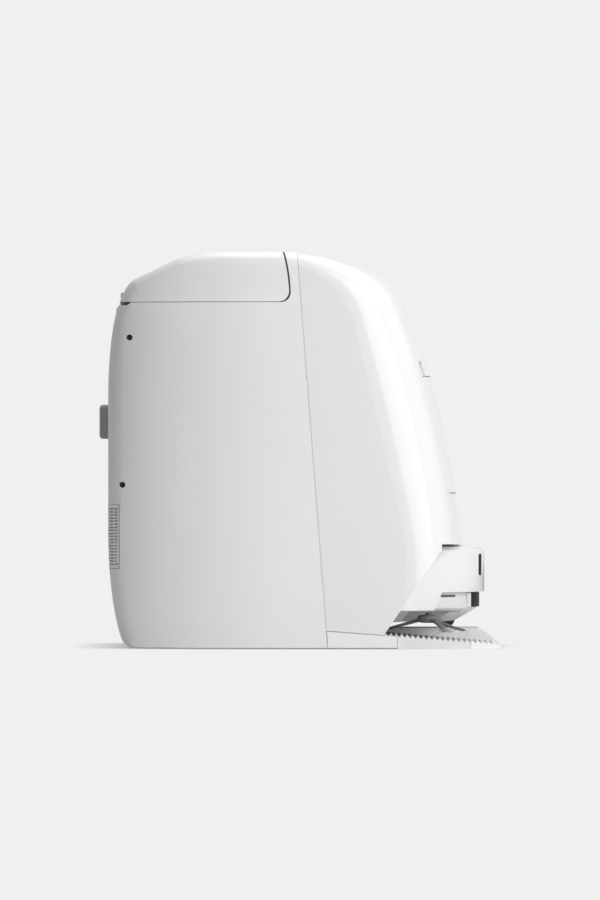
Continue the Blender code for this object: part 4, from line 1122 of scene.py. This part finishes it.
def makeMopPads():
    # round microfibre pad: flat where it lies, full rounded rim, stitched ring and uneven pile
    for side, label in sides:
        low, high = boxOf("mop_pad_" + label)
        centre = Vector((*middleOf(low, high)[:2], 0))
        rim, bottom, top = (high[0] - low[0]) / 2, low[2], high[2]
        sections = [(0.4, bottom + 0.6)]
        sections += [(r, bottom + 0.5) for r in range(3, 53, 2)]
        sections += [(rim - 2.6 + 2.4 * math.sin(a), (bottom + top) / 2 - (top - bottom) / 2 * math.cos(a)
                      * 0.85) for a in [math.radians(10 * k) for k in range(2, 17)]]
        sections += [(52, top - 0.25), (20, top - 0.25), (7, top - 0.25)]
        mesh = turnedSolid(sections, tuple(centre), 220)
        for vertex in mesh.vertices:
            spot = vertex.co / mm
            flat = Vector((spot.x, spot.y, 0)) - centre
            radius = flat.length
            if spot.z > top - 0.5 and radius < 54:
                continue
            tuft = noise.noise(spot / mopPad["pileStep"]) * mopPad["pile"]
            if abs(radius - mopPad["stitch"]) < 1.1:
                tuft = 0.9
            push = flat.normalized() * 0.6 if radius > 50 else Vector((0, 0, 0))
            down = Vector((0, 0, 1)) if spot.z < (bottom + top) / 2 else Vector((0, 0, 0))
            vertex.co += (down * max(-0.4, tuft) + push * min(tuft, 0.3)) * mm
        replaced = ["mop_pad_" + label]
        item = newPiece("mopPad_" + label, mesh, padPile, "mop_" + label, replaced, 60)


def makeMopDiscs():
    for side, label in sides:
        low, high = boxOf("mop_disc_" + label)
        centre = (*middleOf(low, high)[:2], 0)
        base, outer = low[2], (high[0] - low[0]) / 2
        sections = [(outer - 0.6, base), (outer, base + 0.5), (outer, base + 1.1),
                    (outer - 0.6, base + 1.6), (10, base + 1.6), (6.6, base + 2.4),
                    (6, base + 4), (6, high[2] - 0.6), (5.4, high[2])]
        mesh = turnedSolid(sections, centre, 120)
        ribs = []
        for k in range(8):
            a = math.radians(45 * k + 10)
            along, across = Vector((math.cos(a), math.sin(a))), Vector((-math.sin(a), math.cos(a))) * 0.7
            spot = Vector(centre[:2])
            corners = [spot + along * 8 - across, spot + along * (outer - 4) - across,
                       spot + along * (outer - 4) + across, spot + along * 8 + across]
            ribs.append(slabZ([tuple(c) for c in corners], base + 1.2, base + 2.0))
        newPiece("mopDisc_" + label, joined([mesh] + ribs), stoneGrey, "mop_" + label,
                 ["mop_disc_" + label])


makeRobotBase()
makeSkirtDetails()
makeDriveWheels()
makeRollerBrush()
makeMopPads()
makeMopDiscs()
print("wheels, brushes and mops ready")

dustBag = {"voxel": 5 * mm, "pressure": 3.0, "steps": 18, "cap": 7 * mm}


def makeDustBag():
    # part-filled felt bag: its side panels swell, and a welded seam runs round it
    low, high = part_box("dust_bag")
    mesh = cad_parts["dust_bag"].data.copy()
    middlePoint = Vector(middleOf(low, high))
    for vertex in mesh.vertices:
        vertex.co = middlePoint + (vertex.co - middlePoint) * 0.93
    item = bpy.data.objects.new("dustBag", mesh)
    bpy.context.collection.objects.link(item)
    remesh = item.modifiers.new("even", "REMESH")
    remesh.mode = "VOXEL"
    remesh.voxel_size = dustBag["voxel"]
    bpy.context.view_layer.update()
    item.data = bpy.data.meshes.new_from_object(item.evaluated_get(bpy.context.evaluated_depsgraph_get()))
    item.modifiers.clear()
    before = [vertex.co.copy() for vertex in item.data.vertices]
    cloth = item.modifiers.new("swell", "CLOTH")
    cloth.settings.use_pressure = True
    cloth.settings.uniform_pressure_force = dustBag["pressure"]
    cloth.settings.effector_weights.gravity = 0
    cloth.point_cache.frame_end = dustBag["steps"]
    for step in range(1, dustBag["steps"] + 1):
        bpy.context.scene.frame_set(step)
    swollen = bpy.data.meshes.new_from_object(item.evaluated_get(bpy.context.evaluated_depsgraph_get()))
    bpy.context.scene.frame_set(1)
    item.modifiers.clear()
    for vertex, start in zip(swollen.vertices, before):
        move = vertex.co - start
        if move.length > dustBag["cap"]:
            move = move.normalized() * dustBag["cap"]
        point = start + move
        crease = noise.noise(point / (24 * mm)) * 1.6 * mm + noise.noise(point / (9 * mm)) * 0.7 * mm
        point += (point - middlePoint).normalized() * crease
        seam = math.exp(-((point.x - middlePoint.x) / (1.6 * mm)) ** 2)
        point += Vector((0, point.y - middlePoint.y, point.z - middlePoint.z)).normalized() * seam * 1.5 * mm
        vertex.co = [min(max(value, a + 0.1 * mm), b - 0.1 * mm) for value, a, b in zip(point, low, high)]
    bpy.data.objects.remove(item, do_unlink=True)
    bag = newPiece("dustBag", swollen, bagFelt, "station", ["dust_bag"], 80)
    finer = bag.modifiers.new("finer", "SUBSURF")
    finer.levels = finer.render_levels = 1


def makeBagCollar():
    # card collar with a rubber lip
    collar = slabX(roundedPlan((-50, 190), (50, 282), 6), 48, 50.5)
    collar = cut(collar, cylinder(18, 40, 60, (0, 0, 236), 64, "X"))
    soften(newPiece("bagCollar", collar, pressedCard, "station", ["dust_bag_collar"]))
    lip = turnedRing(roundedPlan((16, 47.6), (20, 50.9), 1.2, 4), (0, 0, 236), 72, "X")
    newPiece("bagCollarLip", lip, tyreRubber, "station")


makeDustBag()
makeBagCollar()
print("dust bag ready")

scrubber = {"ribs": 26, "inner": 14, "outer": 52, "low": 12.2, "high": 17.1}


def makeScrubbers():
    # ribbed washing discs in the tray below the mops
    for side, label in sides:
        centre = Vector((robot["mop"][0], side * robot["mop"][1]))
        parts = []
        for k in range(scrubber["ribs"]):
            a = 2 * math.pi * k / scrubber["ribs"]
            along, across = Vector((math.cos(a), math.sin(a))), Vector((-math.sin(a), math.cos(a)))
            near = scrubber["inner"] if k % 2 else scrubber["inner"] + 12
            rings = []
            for z, wide in ((scrubber["low"], 1.5), (scrubber["high"] - 0.8, 1.1), (scrubber["high"], 0.5)):
                corners = [centre + along * near - across * wide,
                           centre + along * scrubber["outer"] - across * wide,
                           centre + along * scrubber["outer"] + across * wide,
                           centre + along * near + across * wide]
                rings.append([(c.x, c.y, z) for c in corners])
            parts.append(loft(rings))
        newPiece("scrubber_" + label, joined(parts), stoneGrey, "tray")


def makeCapRibs():
    # gripped filler caps on both tanks
    for name, body in (("clean_tank", "clean_water"), ("dirty_tank", "dirty_water")):
        low, high = boxOf(name + "_cap")
        centre = (*middleOf(low, high)[:2], 0)
        rim = (high[0] - low[0]) / 2
        base = high[2] - 7.6
        sections = [(16.4, low[2]), (16.4, base), (rim - 0.8, base), (rim - 0.4, base + 0.6),
                    (rim - 0.4, base + 5.2), (rim - 2.2, high[2] - 0.6), (rim - 3.4, high[2]),
                    (12, high[2] - 0.4), (11, high[2] - 1.4)]
        cap = turnedSolid(sections, centre, 96)
        notches = []
        for k in range(32):
            a = 2 * math.pi * k / 32
            spot = (centre[0] + rim * math.cos(a), centre[1] + rim * math.sin(a), 0)
            notches.append(cylinder(1.1, base + 1, high[2] + 2, spot, 12))
        newPiece(name.replace("_tank", "Tank") + "Cap", cut(cap, joined(notches)), blackMoulding, body,
                 [name + "_cap"])


makeScrubbers()
makeCapRibs()
print("tray and tank details ready")

# CAD pieces that keep their own mesh
nodeFinish = {
    "base_plate": satinShell, "bay_liner": innerShell, "caster_fork": blackMoulding,
    "caster_wheel": tyreRubber, "charge_contact_left": brushedSteel, "charge_contact_right": brushedSteel,
    "clean_tank": clearTank, "clean_tank_handle": blackMoulding, "control_board": boardGreen,
    "dirty_tank": smokedTank, "dirty_tank_handle": blackMoulding, "dust_chamber": stoneGrey,
    "lid_hinge_pin_left": brushedSteel, "lid_hinge_pin_right": brushedSteel, "power_supply": brushedSteel,
    "rear_grip_cup": stoneGrey, "robot_battery": blackMoulding, "robot_dust_box": smokedTank,
    "robot_sensor_bar": windowBlack, "roller_brush_housing": blackMoulding,
    "side_brush_motor": stoneGrey, "suction_fan": blackMoulding, "tank_well": stoneGrey,
    "wash_tray": trayGrey, "water_pump": blackMoulding, "wheel_arm_left": stoneGrey,
    "wheel_arm_right": stoneGrey,
}


def dressNodes():
    for name, finish in nodeFinish.items():
        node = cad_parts[name]
        node.data.materials.clear()
        node.data.materials.append(finish)
        node.data.shade_smooth()
        node.data.set_sharp_from_angle(angle=math.radians(32))
        soften(node, 0.3, 2)


dressNodes()
print("CAD pieces dressed")

# studio light
keyLight = {"azimuth": 46, "distance": 2.2, "rise": 0.35, "size": (1.9, 2.6), "power": 62.0}
topLight = {"height": 2.4, "size": (1.6, 1.6), "power": 36.0}


def buildLights():
    near = cadBox[0][1]
    turn = math.radians(keyLight["azimuth"])
    away = Vector((math.sin(turn), -math.cos(turn), 0)) * keyLight["distance"]
    aim = Vector((0, near, middle[2]))
    place = aim + away + Vector((0, 0, keyLight["rise"]))
    softbox("keySoftbox", place, aim, keyLight["size"], keyLight["power"])
    place = Vector((0.1, 0, topLight["height"]))
    softbox("topSoftbox", place, (0, 0, middle[2]), topLight["size"], topLight["power"])


buildLights()
print("lights ready")
